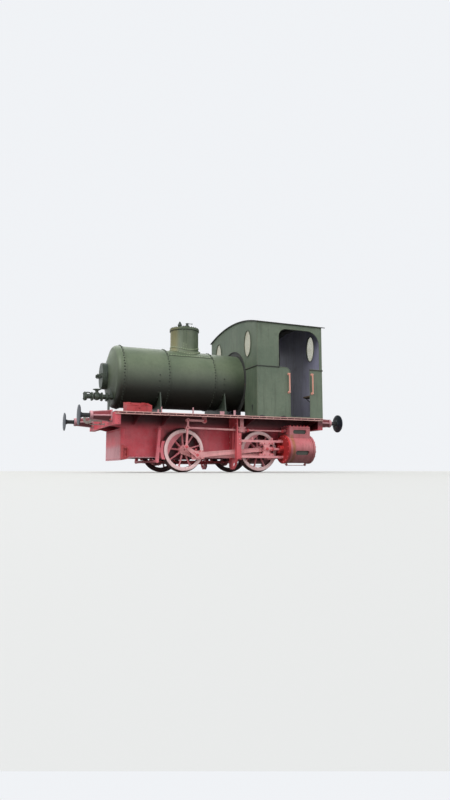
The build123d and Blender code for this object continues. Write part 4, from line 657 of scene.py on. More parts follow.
    def tube(self, points: Sequence[Spot], radius: float, sides: int = 10, looped: bool = False) -> None:
        """Sweeps a circle through points.

        Args:
            points: The points, in order.
            radius: Radius of the circle.
            sides: Number of sides.
            looped: Whether the last point joins the first.
        """
        path = [Vector(p) for p in points]
        rings = []
        twist = None
        for i, p in enumerate(path):
            ahead = path[(i + 1) % len(path)] if looped or i + 1 < len(path) else p
            behind = path[i - 1] if looped or i > 0 else p
            flow = (ahead - behind).normalized()
            if twist is None:
                twist = turn_to(flow)
            else:
                twist = (twist @ Vector(UP)).rotation_difference(flow).to_matrix().to_4x4() @ twist
            rings.append(self.ring(Matrix.Translation(p) @ twist, radius, sides))
        self.bridge(rings + rings[:1] * looped)
        if not looped:
            for ring in (rings[0], rings[-1]):
                ops.contextual_create(self.bm, geom=ring)

    def ring(self, place: Matrix, radius: float, sides: int) -> list[bmesh.types.BMEdge]:
        """Adds a bare circle and gives its edges."""
        made = ops.create_circle(self.bm, cap_ends=False, segments=sides, radius=radius, matrix=place)
        return list({e for v in made["verts"] for e in v.link_edges})

    def bridge(self, rings: Sequence[list[bmesh.types.BMEdge]]) -> None:
        """Joins each ring of edges to the next."""
        for first, second in zip(rings, rings[1:]):
            ops.bridge_loops(self.bm, edges=first + second)

    def mirrored(self, axis: Axis) -> None:
        """Adds a mirror image of all that is there, across the frame's middle.

        Args:
            axis: The axis along which it is mirrored.
        """
        self.gather()
        copied = ops.duplicate(self.bm, geom=self.bm.verts[:] + self.bm.edges[:] + self.bm.faces[:])
        verts = [v for v in copied["geom"] if isinstance(v, bmesh.types.BMVert)]
        ops.scale(self.bm, vec=[-1 if a is axis else 1 for a in Axis], verts=verts)

    def finish(self, name: str, coat: str, slot: str, *stands_for: str, body: str = "chassis",
            angle: float = 35.0, side: Side | None = None, both: bool = False) -> None:
        """Makes the piece and hands it to its body.

        Args:
            name: The piece's name.
            coat: The name of its material.
            slot: The record's slot that its finish belongs to; not used.
            *stands_for: The nodes that it replaces.
            body: The body that it rides on.
            angle: Edges sharper than this many degrees stay sharp.
            side: The side that the piece, shaped on the left, belongs to.
            both: Whether the piece, shaped on the left, is on both sides.
        """
        if both:
            self.mirrored(Axis.Y)
        self.gather()
        if side:
            name = f"{name}_{side.word}"
            ops.scale(self.bm, vec=(1, side.value, 1), verts=self.bm.verts[:])
        ops.recalc_face_normals(self.bm, faces=self.bm.faces[:])
        mesh = bpy.data.meshes.new(name)
        self.bm.to_mesh(mesh)
        self.bm.free()
        mesh.polygons.foreach_set("use_smooth", [True] * len(mesh.polygons))
        mesh.set_sharp_from_angle(angle=math.radians(angle))
        mesh.materials.append(COATS[coat])
        made = bpy.data.objects.new(name, mesh)
        bpy.context.scene.collection.objects.link(made)
        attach(made, body)
        if stands_for:
            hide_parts(*stands_for)
        LOG.info("%s: %d faces on %s", name, len(mesh.polygons), body)


# Colours of this locomotive
OCHRE = "807042"
# Colour of the painted shade on faces that look down.
UNDERSIDE_SHADE = "181618"
# Painted shade over the upper front of the cab's inner faces.
CAB_PAINTED_SHADE = Paint("cab_dark", "121219", "202028", "0c0c0f", wear=0.0, gloss=0.6)
CAB_INSIDE = Paint("cab_inside", "9696ae", "acacbe", "484450", fade=0.5, flaking=0.25, wear=0.0,
    zones=(Zone((-0.8, 0, 3.0), (0.85, 1.6, 1.15), CAB_PAINTED_SHADE, 0.45),))
COVER_RED = Paint("cover_red", "c42628", "d45450", "781e1e", worn="de9688", fade=0.4, grime=0.3, flaking=0.15,
    gloss=0.46)
TREAD_DARK = Paint("tread_dark", "422224", "623e3e", "28181a", fade=0.5, grime=0.5, wear=0.0, flaking=0.4,
    gloss=0.46, metallic=0.1)
# Painted shade with some grime: dark maroon under the deck and behind the wheels on the frame.
FRAME_SHADE_AND_GRIME = Paint("frame_dark", "4a0e18", "681e26", "260e12", fade=0.5, grime=0.6, wear=0.0, flaking=0.2,
    gloss=0.5)
# Painted highlight: pale light on the lower front plate, which is also partly sun-faded, and the lit edge
# along the foot of the side frames.
FRAME_PAINTED_HIGHLIGHT = Paint("frame_pale", "dc929c", "e8b4ba", "963e46", streaks=0.3, grime=0.3, wear=0.0, flaking=0.15,
    gloss=0.5)
DOME_OCHRE = Paint("dome_ochre", "868258", "969470", "58563c", scale=1.6, streaks=0.6, wear=0.0, gloss=0.5)
CASING_RUST = Paint("casing_rust", "9e5c38", "be7e62", "783c28", scale=2.0, fade=0.8, streaks=0.5, grime=0.5,
    wear=0.0, flaking=0.5, gloss=0.6)
# Painted highlight on the rivets that lie high on the vessel and round the dome's foot.
RIVET_PAINTED_HIGHLIGHT = Paint("rivet_light", "94a082", "a4ae92", "687058", grime=0.2, wear=0.0, flaking=0.2)
FINISHES: tuple[Paint | Timber | Pane, ...] = (
    Paint("rim_green", "465242", "5e6854", "2c3028", wear=0.3, gloss=0.5),
    Paint("vessel_green", "5c6a52", "707c62", "404937", rust="605c3e", worn=OCHRE, fade=0.7, streaks=0.12,
        grime=0.28, flaking=0.12, sheltered=0.9),
    Paint("dome_green", "5a6850", "768066", "424a36", rust="7a6e42", worn=OCHRE, scale=1.3, fade=0.7,
        streaks=0.4, flaking=0.4, sheltered=0.5, zones=(Zone((0.76, 0.06, 2.74), (0.13, 0.2, 0.32),
        DOME_OCHRE, 0.09),)),
    # Near-black rivets: partly dirt round the heads, partly painted shade under them; the high ones get a
    # painted highlight.
    Paint("rivet_green", "1e251c", "384030", "181c16", rust="50422c", worn="787456", scale=1.4, fade=0.5,
        flaking=0.3, wear=0.0, gloss=0.45, bump=0.2, zones=(Zone((0.455, 0, 2.516), (0.455, 0.5, 0.156),
        RIVET_PAINTED_HIGHLIGHT, 0.002),)),
    Paint("cab_green", "546350", "6b7763", "3c4236", rust="685842", worn="805446", streaks=0.5, flaking=0.3,
        wear=0.45, gloss=0.45, zones=(Zone((-1.42, 0, 2.1), (0.752, 1.2155, 1.2), CAB_INSIDE),)),
    Paint("bead_dark", "2c302a", "4e5046", "1e1e1a", wear=0.2, gloss=0.5),
    Paint("roof_black", "282a28", "464844", "1a1816", wear=0.15, gloss=0.55),
    # The frame's first two zones are painted highlights on the front plate and along the frames' foot.
    Paint("frame_red", "e44252", "e6808a", "841c28", worn="d69c96", fade=0.55, streaks=0.12, grime=0.3,
        flaking=0.12, gloss=0.46, sheltered=0.35, zones=(Zone((2.02, 0, 0.15), (0.2, 0.9, 0.42), FRAME_PAINTED_HIGHLIGHT,
        0.15), Zone((0, 0, 0.284), (1.93, 0.9, 0.018), FRAME_PAINTED_HIGHLIGHT, 0.008),
        # Painted shade with some grime under the deck and behind both wheels.
        Zone((-0.16, 0, 1.11), (2.33, 1.5, 0.33), FRAME_SHADE_AND_GRIME, 0.23),
        Zone((0.725, 0, 0.48), (0.44, 0.9, 0.44), FRAME_SHADE_AND_GRIME, 0.2),
        Zone((-0.895, 0, 0.48), (0.44, 0.9, 0.44), FRAME_SHADE_AND_GRIME, 0.2))),
    Paint("toolbox_red", "b22a30", "ca6668", "601c20", worn="d6968c", grime=0.4, flaking=0.25),
    Paint("deck_red", "3e1418", "683032", "221012", worn="b4686c", fade=0.5, grime=0.6, wear=0.7, gloss=0.6),
    Paint("deck_edge_pink", "e2aca6", "e8c4ba", "8c4242", grime=0.3, gloss=0.5),
    Paint("motion_pink", "de8e92", "e8b0ae", "8c3e40", rust="88462e", worn="ac3a3c", streaks=0.25,
        grime=0.45),
    Paint("motion_red", "cc3c46", "d87076", "6e2226", rust="7e422a", worn="ce948a", fade=0.55, streaks=0.3,
        grime=0.45, flaking=0.3),
    Paint("cylinder_red", "c2646a", "d48c8e", "823a32", rust="924c2c", worn="964e32", streaks=0.4, gloss=0.48,
        sheltered=0.6, zones=(Zone((-1.318, 0, 0.466), (0.068, 1.4, 0.32), COVER_RED),
        Zone((-1.47, 0, 0.466), (0.06, 1.4, 0.32), CASING_RUST, 0.055))),
    Paint("gear_pink", "e0606e", "e6929a", "82323a", worn="d6a098", fade=0.55, streaks=0.2, flaking=0.25,
        gloss=0.46),
    Paint("wheel_pink", "ce747c", "dc9a9e", "782e34", worn="d6a098", fade=0.55, streaks=0.1, grime=0.4,
        flaking=0.2, gloss=0.45),
    Paint("tyre_pale", "f0caca", "f6dedc", "b8807c", rust="8c543e", worn="aa7c70", grime=0.2, flaking=0.12,
        metallic=0.1, zones=(Zone((0, 0, 0.43), (3.0, 0.7975, 0.6), TREAD_DARK, 0.003),)),
    Paint("axle_maroon", "5c1a1e", "8c4646", "2e1416", fade=0.4, grime=0.6, gloss=0.55),
    Paint("axlebox_dark", "541a1e", "844242", "281416", fade=0.4, grime=0.6, gloss=0.55),
    Paint("buffer_black", "1e1f22", "3e3e40", "161414", wear=0.3, worn="564e4a", flaking=0.2, gloss=0.38,
        metallic=0.2),
    Paint("buffer_blue", "242c36", "3e4650", "1a1a1e", wear=0.45, worn="746c64", flaking=0.25, gloss=0.36,
        metallic=0.35),
    # Buffer cases: the dark red body is painted shade between the ribs, and the pale pink of the ribs,
    # collars and bases is a painted highlight; the deck's lugs share the pale pink.
    Paint("case_red", "7e222c", "98424a", "50141c", rust="8c4e38", fade=0.5, streaks=0.15, grime=0.5,
        gloss=0.5, sheltered=0.6),
    Paint("case_pink", "de9ea6", "e8babe", "963c44", fade=0.5, streaks=0.1, flaking=0.25, gloss=0.46,
        sheltered=0.5),
    Paint("hook_grey", "8e8c84", "a8a49c", "4e4a46", wear=0.4, worn="967860", gloss=0.5, metallic=0.25),
    Paint("fitting_green", "2a362c", "4a5446", "1c201c", worn="68604a", fade=0.5, grime=0.4, flaking=0.25,
        gloss=0.38),
    Paint("rail_red", "da9682", "e4b0a0", "96584c", worn="965c42", fade=0.5),
    Paint("brass_dull", "8e743e", "a89260", "544830", wear=0.2, worn="bea870", flaking=0.1, gloss=0.32,
        metallic=0.8),
    Paint("dial_white", "dcdacc", "e8e6dc", "a09882", fade=0.4, flaking=0.1, wear=0.0, gloss=0.3, bump=0.1),
    Timber("cab_floor", "7a6852", "4a3c2e"),
    Pane("pane_cream", "cbcab6", "bebba4", clear=0.1),
    Pane("pane_clear", "ecebdc", "e2e0ce", clear=0.8, haze=(0.03, 0.1)),
)


# Studio
@dataclass
class Studio:
    """Floor, backdrop, lamps and the camera at the photograph's angle."""

    floor_colour: str = "d6d6d2"  # display colour of the floor as the camera sees it
    floor_bounce: str = "969692"  # display colour of the light that the floor throws back up
    sky: Colour = (0.95, 0.97, 1, 1)  # linear colour of the background
    glow: float = 0.92  # strength of the background as the camera sees it
    light: float = 0.62  # strength of the background as it lights the locomotive
    reach: float = 60.0  # half the floor's width
    eye: Point = (4.587, 11.833, 0.05)  # where the camera stands
    target: Point = (0, 0, 1.4)  # where the lamps point
    yaw: float = -0.405  # camera's turn from looking along -Y, in radians
    pitch: float = 6.65  # how far it looks up, in degrees
    lens: float = 26.95  # focal length over a 36 mm frame height
    near: float = 7.0  # distance at which the floor starts to pass into the backdrop
    far: float = 22.0  # distance at which it has become the backdrop

    def build(self) -> None:
        """Builds the whole studio."""
        self._world()
        self._floor()
        self._lamps()
        self._camera()

    def _add(self, name: str, data: bpy.types.ID) -> bpy.types.Object:
        """Adds an object to the scene.

        Args:
            name: The object's name.
            data: What it shows.

        Returns:
            The object.
        """
        made = bpy.data.objects.new(name, data)
        bpy.context.scene.collection.objects.link(made)
        return made

    def _world(self) -> None:
        """Soft even light, and a pale background for the camera, gloss and glass."""
        world = bpy.data.worlds.new("studio_light")
        bpy.context.scene.world = world
        world.use_nodes = True
        b = NodeBuilder(world.node_tree)
        shade = world.node_tree.nodes["Background"].inputs
        b.feed(shade["Color"], self.sky)
        b.feed(shade["Strength"], b.window(b.seen(), 0, 1, (self.light, self.glow)))

    def _floor(self) -> None:
        """A wide plain floor that passes into the backdrop."""
        bm = bmesh.new()
        ops.create_grid(bm, x_segments=1, y_segments=1, size=self.reach)
        mesh = bpy.data.meshes.new("floor")
        bm.to_mesh(mesh)
        bm.free()
        b = MaterialBuilder("pale_floor")
        seen, nodes = b.seen(), b.tree.nodes
        b.shade({"Base Color": b.mix(seen, srgb(self.floor_bounce), srgb(self.floor_colour)),
            "Roughness": 0.85})
        glow = b.node("Emission", {"Color": self.sky, "Strength": self.glow}).outputs[0]
        away = b.vector("LENGTH", b.place["Object"], (0, 0, 0))["Value"]
        share = b.times(b.window(away, self.near, self.far), seen)
        blend = b.node("MixShader", {0: share, 1: nodes["Principled BSDF"].outputs[0], 2: glow})
        b.feed(nodes["Material Output"].inputs["Surface"], blend.outputs[0])
        mesh.materials.append(b.made)
        self._add("floor", mesh)

    def _lamps(self) -> None:
        """Soft even lamps: a key from ahead on the near side, and two weaker ones."""
        for name, at, spread, power in (("key", (7.6, 5.2, 9.0), 34.0, 1.65),
                ("fill", (-6.0, 9.0, 3.6), 50.0, 0.8), ("back", (-1, -9.0, 8.5), 45.0, 0.85)):
            lamp = bpy.data.lights.new(name, "SUN")
            lamp.angle = math.radians(spread)
            lamp.energy = power
            holder = self._add(name, lamp)
            holder.location = at
            holder.rotation_euler = (Vector(self.target) - Vector(at)).to_track_quat("-Z", "Y").to_euler()

    def _camera(self) -> None:
        """The camera, low down on the left and looking a little up."""
        lens = bpy.data.cameras.new("camera")
        lens.sensor_fit = "VERTICAL"
        lens.sensor_height = 36.0
        lens.lens = self.lens
        lens.clip_end = 300.0
        holder = self._add("camera", lens)
        holder.location = self.eye
        holder.rotation_euler = (math.radians(90.0 + self.pitch), 0, math.pi + self.yaw)
        bpy.context.scene.camera = holder


# Pressure vessel
@dataclass
class Vessel:
    """Smooth riveted shell of the pressure vessel with its seams."""

    front_x: float = 1.916  # front edge of the front ring
    flange_radius: float = 0.637  # radius of the front head's flange
    radii: Point = (0.624, 0.611, 0.598)  # radii of the three rings, from the front
    ring: float = 0.984  # length of a ring
    flange: float = 0.08  # width of the head's flange
    knuckle: float = 0.095  # radius where a head turns into its flange
    depth: float = 0.208  # depth of a head
    rivets: int = 64  # number of rivets round a seam
    lip: float = 0.004  # width of the bevelled edge of a ring

    def build(self) -> None:
        """Builds the shell, its rivets and its manhole bolts."""
        self._shell()
        self._rivets()
        self._manhole()

    def _head(self, radius: float, sign: float, face_x: float) -> list[Pair]:
        """Outline of a pressed head from its flange to its middle.

        Args:
            radius: Radius of its flange.
            sign: One for the front head and minus one for the rear.
            face_x: Where its knuckle starts.

        Returns:
            Pairs of X and radius.
        """
        rim, crown = radius - self.knuckle, self.depth - self.knuckle
        sphere = (rim ** 2 + crown ** 2) / (2 * crown)
        points = [(face_x + sign * ahead, rim + out) for out, ahead in arc(self.knuckle, 0, 90.0, 8)]
        for reach in spaced(rim, 0, rim / 9)[1:]:
            points.append((face_x + sign * (self.depth - sphere + math.sqrt(sphere ** 2 - reach ** 2)),
                reach))
        return points

    def _shell(self) -> None:
        """The shell, turned in one piece, with its welted seams."""
        outline = self._head(self.flange_radius, 1, self.front_x)[::-1]
        steps = [(self.flange, self.flange_radius, self.radii[0])]
        steps += [(self.ring * n, self.radii[n - 1], self.radii[n]) for n in (1, 2)]
        for behind, here, after in steps:
            x = self.front_x - behind
            outline += [(x + self.lip, here), (x, here - self.lip), (x, after)]
        outline += self._head(self.radii[2], -1, self.front_x - 3 * self.ring)
        kit = Shaper()
        kit.lathe(outline, (0, 0, VESSEL_Z), Axis.X, steps=96)
        kit.finish("vessel_shell", "vessel_green", "vessel_green", "storage_vessel", angle=40.0)

    def _spot(self, x: float, radius: float, degrees: float) -> tuple[Vector, Vector]:
        """Place of a rivet on a ring.

        Args:
            x: Place along the vessel.
            radius: Radius of the ring.
            degrees: Angle from the top towards the left.

        Returns:
            The point and the direction away from the ring.
        """
        up, across = polar(1, degrees)
        out = Vector((0, across, up))
        return Vector((x, 0, VESSEL_Z)) + out * radius, out

    def _rivets(self) -> None:
        """Staggered rows round the seams, the row along the plate's lap and those over the saddles."""
        kit = Shaper()
        seam_1, seam_2 = self.front_x - self.ring, self.front_x - 2 * self.ring
        for x, radius in ((self.front_x - 0.04, self.flange_radius), (seam_1 + 0.036, self.radii[0]),
                (seam_2 + 0.036, self.radii[1])):
            for n in range(self.rivets):
                kit.rivet(*self._spot(x + 0.005 * (-1) ** n, radius, n * 360.0 / self.rivets), 0.0158, 0.015)
        for side in Side:
            for x in spaced(0.04, 0.87, 0.056):
                kit.rivet(*self._spot(x, self.radii[1], side.value * 40.5), 0.014, 0.012)
            lap = [self._spot(x, self.radii[1] + 0.001, side.value * 43.5)[0]
                for x in (seam_2 + 0.012, seam_1 - 0.002)]
            kit.rod(*lap, 0.0055, sides=8)
            for (x, radius), n in product(((1.167, self.radii[0]), (-0.216, self.radii[2])), range(5)):
                kit.rivet(*self._spot(x, radius, side.value * (90.0 + 11.0 * n)), 0.0165, 0.014)
        kit.finish("vessel_rivets", "rivet_green", "vessel_green")

    def _manhole(self) -> None:
        """Nuts of the manhole's crossbar, its long stud and the lifting lugs."""
        kit = Shaper()
        face = self.front_x + self.depth
        bar, cover = face + 0.134, face + 0.066
        kit.nut((bar - 0.006, 0, VESSEL_Z), FRONT, 0.041, 0.034, stud=0.026)
        for side in Side:
            kit.nut((bar - 0.002, side.value * 0.175, VESSEL_Z), FRONT, 0.021, 0.018, stud=0.012)
            ends = [(face + 0.02, side.value * 0.226, VESSEL_Z + lift) for lift in (-0.055, 0.055)]
            kit.rod(*ends, 0.014, bevel=0.003)
        oval = [(cover, 0.193 * y, VESSEL_Z + 0.243 * z) for z, y in arc(1, 0, 342.0, 19)]
        kit.rivets(oval, FRONT, 0.01, 0.008)
        kit.finish("manhole_bolts", "fitting_green", "fitting_green")


# Dome
@dataclass
class Dome:
    """Steam dome with its riveted skirt, bolted flange and small fittings."""

    x: float = 0.455  # where it stands
    radius: float = 0.296  # radius of its body
    top: float = 3.012  # height of its cover
    barrel: float = 0.611  # radius of the vessel's ring below it

    def build(self) -> None:
        """Builds the dome's body, rivets and fittings."""
        self._body()
        self._rivets()
        self._fittings()

    def _on_barrel(self, y: float) -> float:
        """Height of the vessel's top at a distance from its middle."""
        return VESSEL_Z + math.sqrt(self.barrel ** 2 - y ** 2)

    def _body(self) -> None:
        """Cylinder whose foot flares into a skirt that follows the vessel."""
        kit = Shaper()
        skirt, flange, lip, steps = self.radius + 0.042, self.radius + 0.016, 0.005, 64
        rings = []
        for reach, lift in ((skirt, -0.012), (skirt, 0.013), (flange, 0.024), (self.radius, 0.06)):
            rings.append(kit.ring(Matrix.Identity(4), reach, steps))
            for v in {v for e in rings[-1] for v in e.verts}:
                v.co.z = self._on_barrel(v.co.y) + lift
        for reach, drop in ((self.radius, 0.058), (flange - lip, 0.05), (flange, 0.044), (flange, 0.027),
                (flange - 0.003, 0.025), (flange, 0.023), (flange, 0.005), (flange - lip, 0), (0.24, 0),
                (0.0005, -0.004)):
            rings.append(kit.ring(Matrix.Translation((0, 0, self.top - drop)), reach, steps))
        kit.bridge(rings)
        ops.remove_doubles(kit.bm, verts=kit.bm.verts[:], dist=0.0006)
        ops.translate(kit.bm, vec=(self.x, 0, 0), verts=kit.bm.verts[:])
        kit.finish("dome_body", "dome_green", "vessel_green", "steam_dome", angle=38.0)

    def _rivets(self) -> None:
        """Rivets of the skirt, the body's seam and the bolts of the cover."""
        kit, middle = Shaper(), Vector((self.x, 0, 0))
        for at in around(Axis.Z, middle, 40, self.radius + 0.03):
            at.z = self._on_barrel(at.y) + 0.016
            kit.rivet(at, (0, at.y / self.barrel, 1), 0.015, 0.014)
        for at in around(Axis.Z, middle, 40, self.radius, 4.5):
            out = at - middle
            at.z = self._on_barrel(at.y) + 0.09
            kit.rivet(at, out / self.radius, 0.015, 0.014)
        cover = middle + Vector((0, 0, self.top))
        kit.nuts(around(Axis.Z, cover - Vector((0, 0, 0.001)), 32, self.radius - 0.008), UP, 0.0145, 0.013,
            0.008)
        kit.nuts(around(Axis.Z, cover - Vector((0, 0, 0.044)), 32, self.radius + 0.004), DOWN, 0.015, 0.016)
        for z, shift in product(spaced(2.56, 2.94, 0.048), (0, 0.055)):
            out = Axis.Z.place(0, *polar(1, 68.0 + math.degrees(shift / self.radius)))
            kit.rivet(Vector((self.x, 0, z + 0.4 * shift)) + out * self.radius, out, 0.0075, 0.006)
        kit.finish("dome_rivets", "rivet_green", "vessel_green")

    def _fittings(self) -> None:
        """Turned safety valve, plugged stub and cock with its lever."""
        kit, z, cock_x = Shaper(), self.top, self.x - 0.062
        acorn = ((0, 0), (0, 0.046), (0.012, 0.046), (0.018, 0.03), (0.03, 0.02), (0.06, 0.019),
            (0.068, 0.04), (0.08, 0.046), (0.1, 0.044), (0.13, 0.03), (0.152, 0.02), (0.166, 0.012),
            (0.174, 0))
        stub = ((0, 0), (0, 0.032), (0.01, 0.032), (0.012, 0.024), (0.062, 0.024), (0.064, 0.03),
            (0.078, 0.03), (0.084, 0.024), (0.086, 0))
        cock = ((0, 0), (0, 0.056), (0.012, 0.056), (0.014, 0.044), (0.07, 0.044), (0.076, 0.05),
            (0.092, 0.05), (0.096, 0.028), (0.126, 0.026), (0.13, 0.034), (0.144, 0.034), (0.15, 0.022),
            (0.152, 0))
        for profile, x, steps in ((acorn, self.x + 0.104, 24), (stub, self.x + 0.022, 20),
                (cock, cock_x, 24)):
            kit.lathe(profile, (x, 0, z), Axis.Z, steps)
        kit.rod((cock_x, 0, z + 0.139), (cock_x - 0.104, 0, z + 0.143), 0.009, 0.006, sides=10)
        kit.ball((cock_x - 0.108, 0, z + 0.143), 0.013)
        kit.nuts(around(Axis.Z, (cock_x, 0, z + 0.01), 6, 0.05), UP, 0.008, 0.01)
        kit.finish("dome_valves", "fitting_green", "fitting_green", "dome_fittings")


# Wheels
@dataclass
class Wheel:
    """Spoked wheel with its pale tyre, counterweight, hub and crank boss, shaped round the origin."""

    place: str  # which axle it sits on, front or rear
    side: Side  # side of the locomotive
    back_y: float = 0.68  # distance of the tyre's back from the middle
    width: float = 0.13  # width of the tyre
    tread: float = 0.405  # radius of the tread
    flange: float = 0.028  # height of the flange
    spokes: int = 9  # number of spokes
    pin_reach: float = 0.24  # distance of the crank pin from the axle
    crescent_span: float = 0.98  # half the counterweight's angle at the rim, in radians
    crescent_reach: float = 0.236  # distance of its inner edge from the axle
    crescent_lead: float = 12.0  # degrees that it lies ahead of the point opposite the pin

    def build(self) -> None:
        """Builds the tyre and the wheel's centre."""
        self._tyre()
        self._rim()
        self._centre()
        self._hub()

    @property
    def middle(self) -> float:
        """Distance of the spokes' middle from the centreline."""
        return self.back_y + self.width / 2 + 0.008

    def _finish(self, kit: Shaper, part: str, coat: str, *stands_for: str, angle: float = 40.0) -> None:
        """Takes a part to its side and its axle and hands it over.

        Args:
            kit: What holds the part.
            part: Its name after the wheel's own.
            coat: The name of its material.
            *stands_for: The node that it replaces.
            angle: Edges sharper than this many degrees stay sharp.
        """
        kit.gather()
        place = Matrix.Translation((AXLES[self.place], 0, AXLE_Z)) @ Matrix.Diagonal((1, self.side.value, 1,
            1))
        ops.transform(kit.bm, matrix=place, verts=kit.bm.verts[:])
        name = f"{self.place}_wheel_{self.side.word}_{part}"
        kit.finish(name, coat, "wheel_red", *stands_for, body=f"{self.place}_axle_set", angle=angle)

    def _tyre(self) -> None:
        """Flanged tyre with a rounded outer edge."""
        inner, tip = self.tread - 0.058, self.tread + self.flange
        back, face = self.back_y, self.back_y + self.width
        outline = [(back + 0.003, inner), (back, inner + 0.004), (back, tip - 0.014),
            (back + 0.003, tip - 0.006), (back + 0.009, tip), (back + 0.019, tip),
            (back + 0.027, tip - 0.006), (back + 0.034, tip - 0.018), (back + 0.042, self.tread + 0.002),
            (face - 0.009, self.tread - 0.002), (face - 0.002, self.tread - 0.006),
            (face, self.tread - 0.012), (face, inner + 0.01), (face - 0.004, inner + 0.006),
            (face - 0.004, inner + 0.003), (face - 0.008, inner)]
        kit = Shaper()
        kit.lathe(outline, (0, 0, 0), Axis.Y, steps=80, closed=True)
        self._finish(kit, "tyre", "tyre_pale", f"{self.place}_wheel_{self.side.word}", angle=28.0)

    def _rim(self) -> None:
        """Slim rim between the spokes and the tyre."""
        kit, inner = Shaper(), self.tread - 0.056
        near = [(0.05, inner), (0.05, inner - 0.01), (0.046, inner - 0.015)]
        rim = [(self.middle - half, radius) for half, radius in near]
        rim += [(self.middle + half, radius) for half, radius in near[::-1]]
        kit.lathe(rim, (0, 0, 0), Axis.Y, steps=64, closed=True)
        self._finish(kit, "rim", "tyre_pale")

    def _spoke(self, kit: Shaper) -> None:
        """Adds one slender spoke that points along +X.

        Args:
            kit: Gathers the wheel's centre.
        """
        x, width, depth = 0.08, 0.0235, 0.029
        rings = []
        for reach, wider, deeper in ((0, 1, 1), (0.03, 0.84, 0.92), (0.192, 0.82, 0.88), (0.028, 1.35, 1.12),
                (0.011, 1.3, 1.1)):
            x, width, depth = x + reach, width * wider, depth * deeper
            place = Matrix.Translation((x, self.middle, 0)) @ Matrix.Rotation(math.pi / 2, 4, "Y")
            rings.append(kit.ring(place @ Matrix.Diagonal((width, depth, 1, 1)), 1, 10))
        kit.bridge(rings)

    def _centre(self) -> None:
        """Spokes and crescent-shaped counterweight."""
        kit = Shaper()
        for n in range(self.spokes):
            turn = math.radians(self.side.crank + n * 360.0 / self.spokes)
            with kit.moved(Matrix.Rotation(-turn, 4, "Y")):
                self._spoke(kit)
        edge, half = self.tread - 0.066, self.crescent_span
        rise = self.crescent_reach - edge * math.cos(half)
        bend = ((edge * math.sin(half)) ** 2 + rise ** 2) / (2 * rise)
        spread = math.degrees(math.asin(edge * math.sin(half) / bend))
        outline = arc(edge, -math.degrees(half), math.degrees(half), 24)
        outline += [(self.crescent_reach - bend + a, b) for a, b in arc(bend, spread, -spread, 20)[1:-1]]
        turn = math.radians(self.side.crank + 180.0 + self.side.value * self.crescent_lead)
        with kit.moved(Matrix.Rotation(-turn, 4, "Y")):
            kit.plate(outline, Axis.Y, self.middle - 0.046, self.middle + 0.046, bevel=0.004)
        self._finish(kit, "centre", "wheel_pink")

    def _hub(self) -> None:
        """Hub, crank web and boss, axle end and key, and the crank pin."""
        kit, origin = Shaper(), (0, 0, 0)
        back, face = self.back_y, self.back_y + self.width + 0.012
        hub = [(back - 0.008, 0.06), (back - 0.008, 0.088), (back, 0.094), (face - 0.008, 0.096),
            (face - 0.002, 0.092), (face, 0.086), (face, 0.06)]
        axle = [(face - 0.02, 0), (face - 0.02, 0.0615), (face + 0.001, 0.0615), (face + 0.003, 0.058),
            (face + 0.003, 0.016), (face - 0.004, 0.01), (face - 0.006, 0)]
        boss = [(face - 0.104, 0.03), (face - 0.104, 0.068), (face - 0.098, 0.074), (face - 0.007, 0.074),
            (face - 0.001, 0.069), (face, 0.064), (face, 0.03)]
        dx, dz = polar(self.pin_reach, self.side.crank)
        kit.lathe(hub, origin, Axis.Y, steps=40, closed=True)
        kit.lathe(axle, origin, Axis.Y, steps=32)
        kit.lathe(boss, (dx, 0, dz), Axis.Y, steps=36, closed=True)
        inner, outer = (Vector((-dz, dx)).normalized() * half for half in (0.086, 0.066))
        pin = Vector((dx, dz))
        kit.plate([inner, pin + outer, pin - outer, -inner], Axis.Y, face - 0.096, face - 0.006, bevel=0.01)
        driven = self.place == "front"
        kit.rod((dx, face - 0.01, dz), (dx, 0.932 if driven else 0.872, dz), 0.038, sides=28)
        if not driven:
            cap = [(0.8735, 0), (0.8735, 0.05), (0.8765, 0.052), (0.877, 0.049), (0.8778, 0)]
            kit.lathe(cap, (dx, 0, dz), Axis.Y, steps=28)
        key_x, key_z = polar(-0.066, self.side.crank)
        kit.box((key_x - 0.011, face - 0.006, key_z - 0.011), (key_x + 0.011, face + 0.004, key_z + 0.011),
            0.002, Matrix.Rotation(-math.radians(self.side.crank), 4, "Y"))
        self._finish(kit, "hub", "motion_pink")


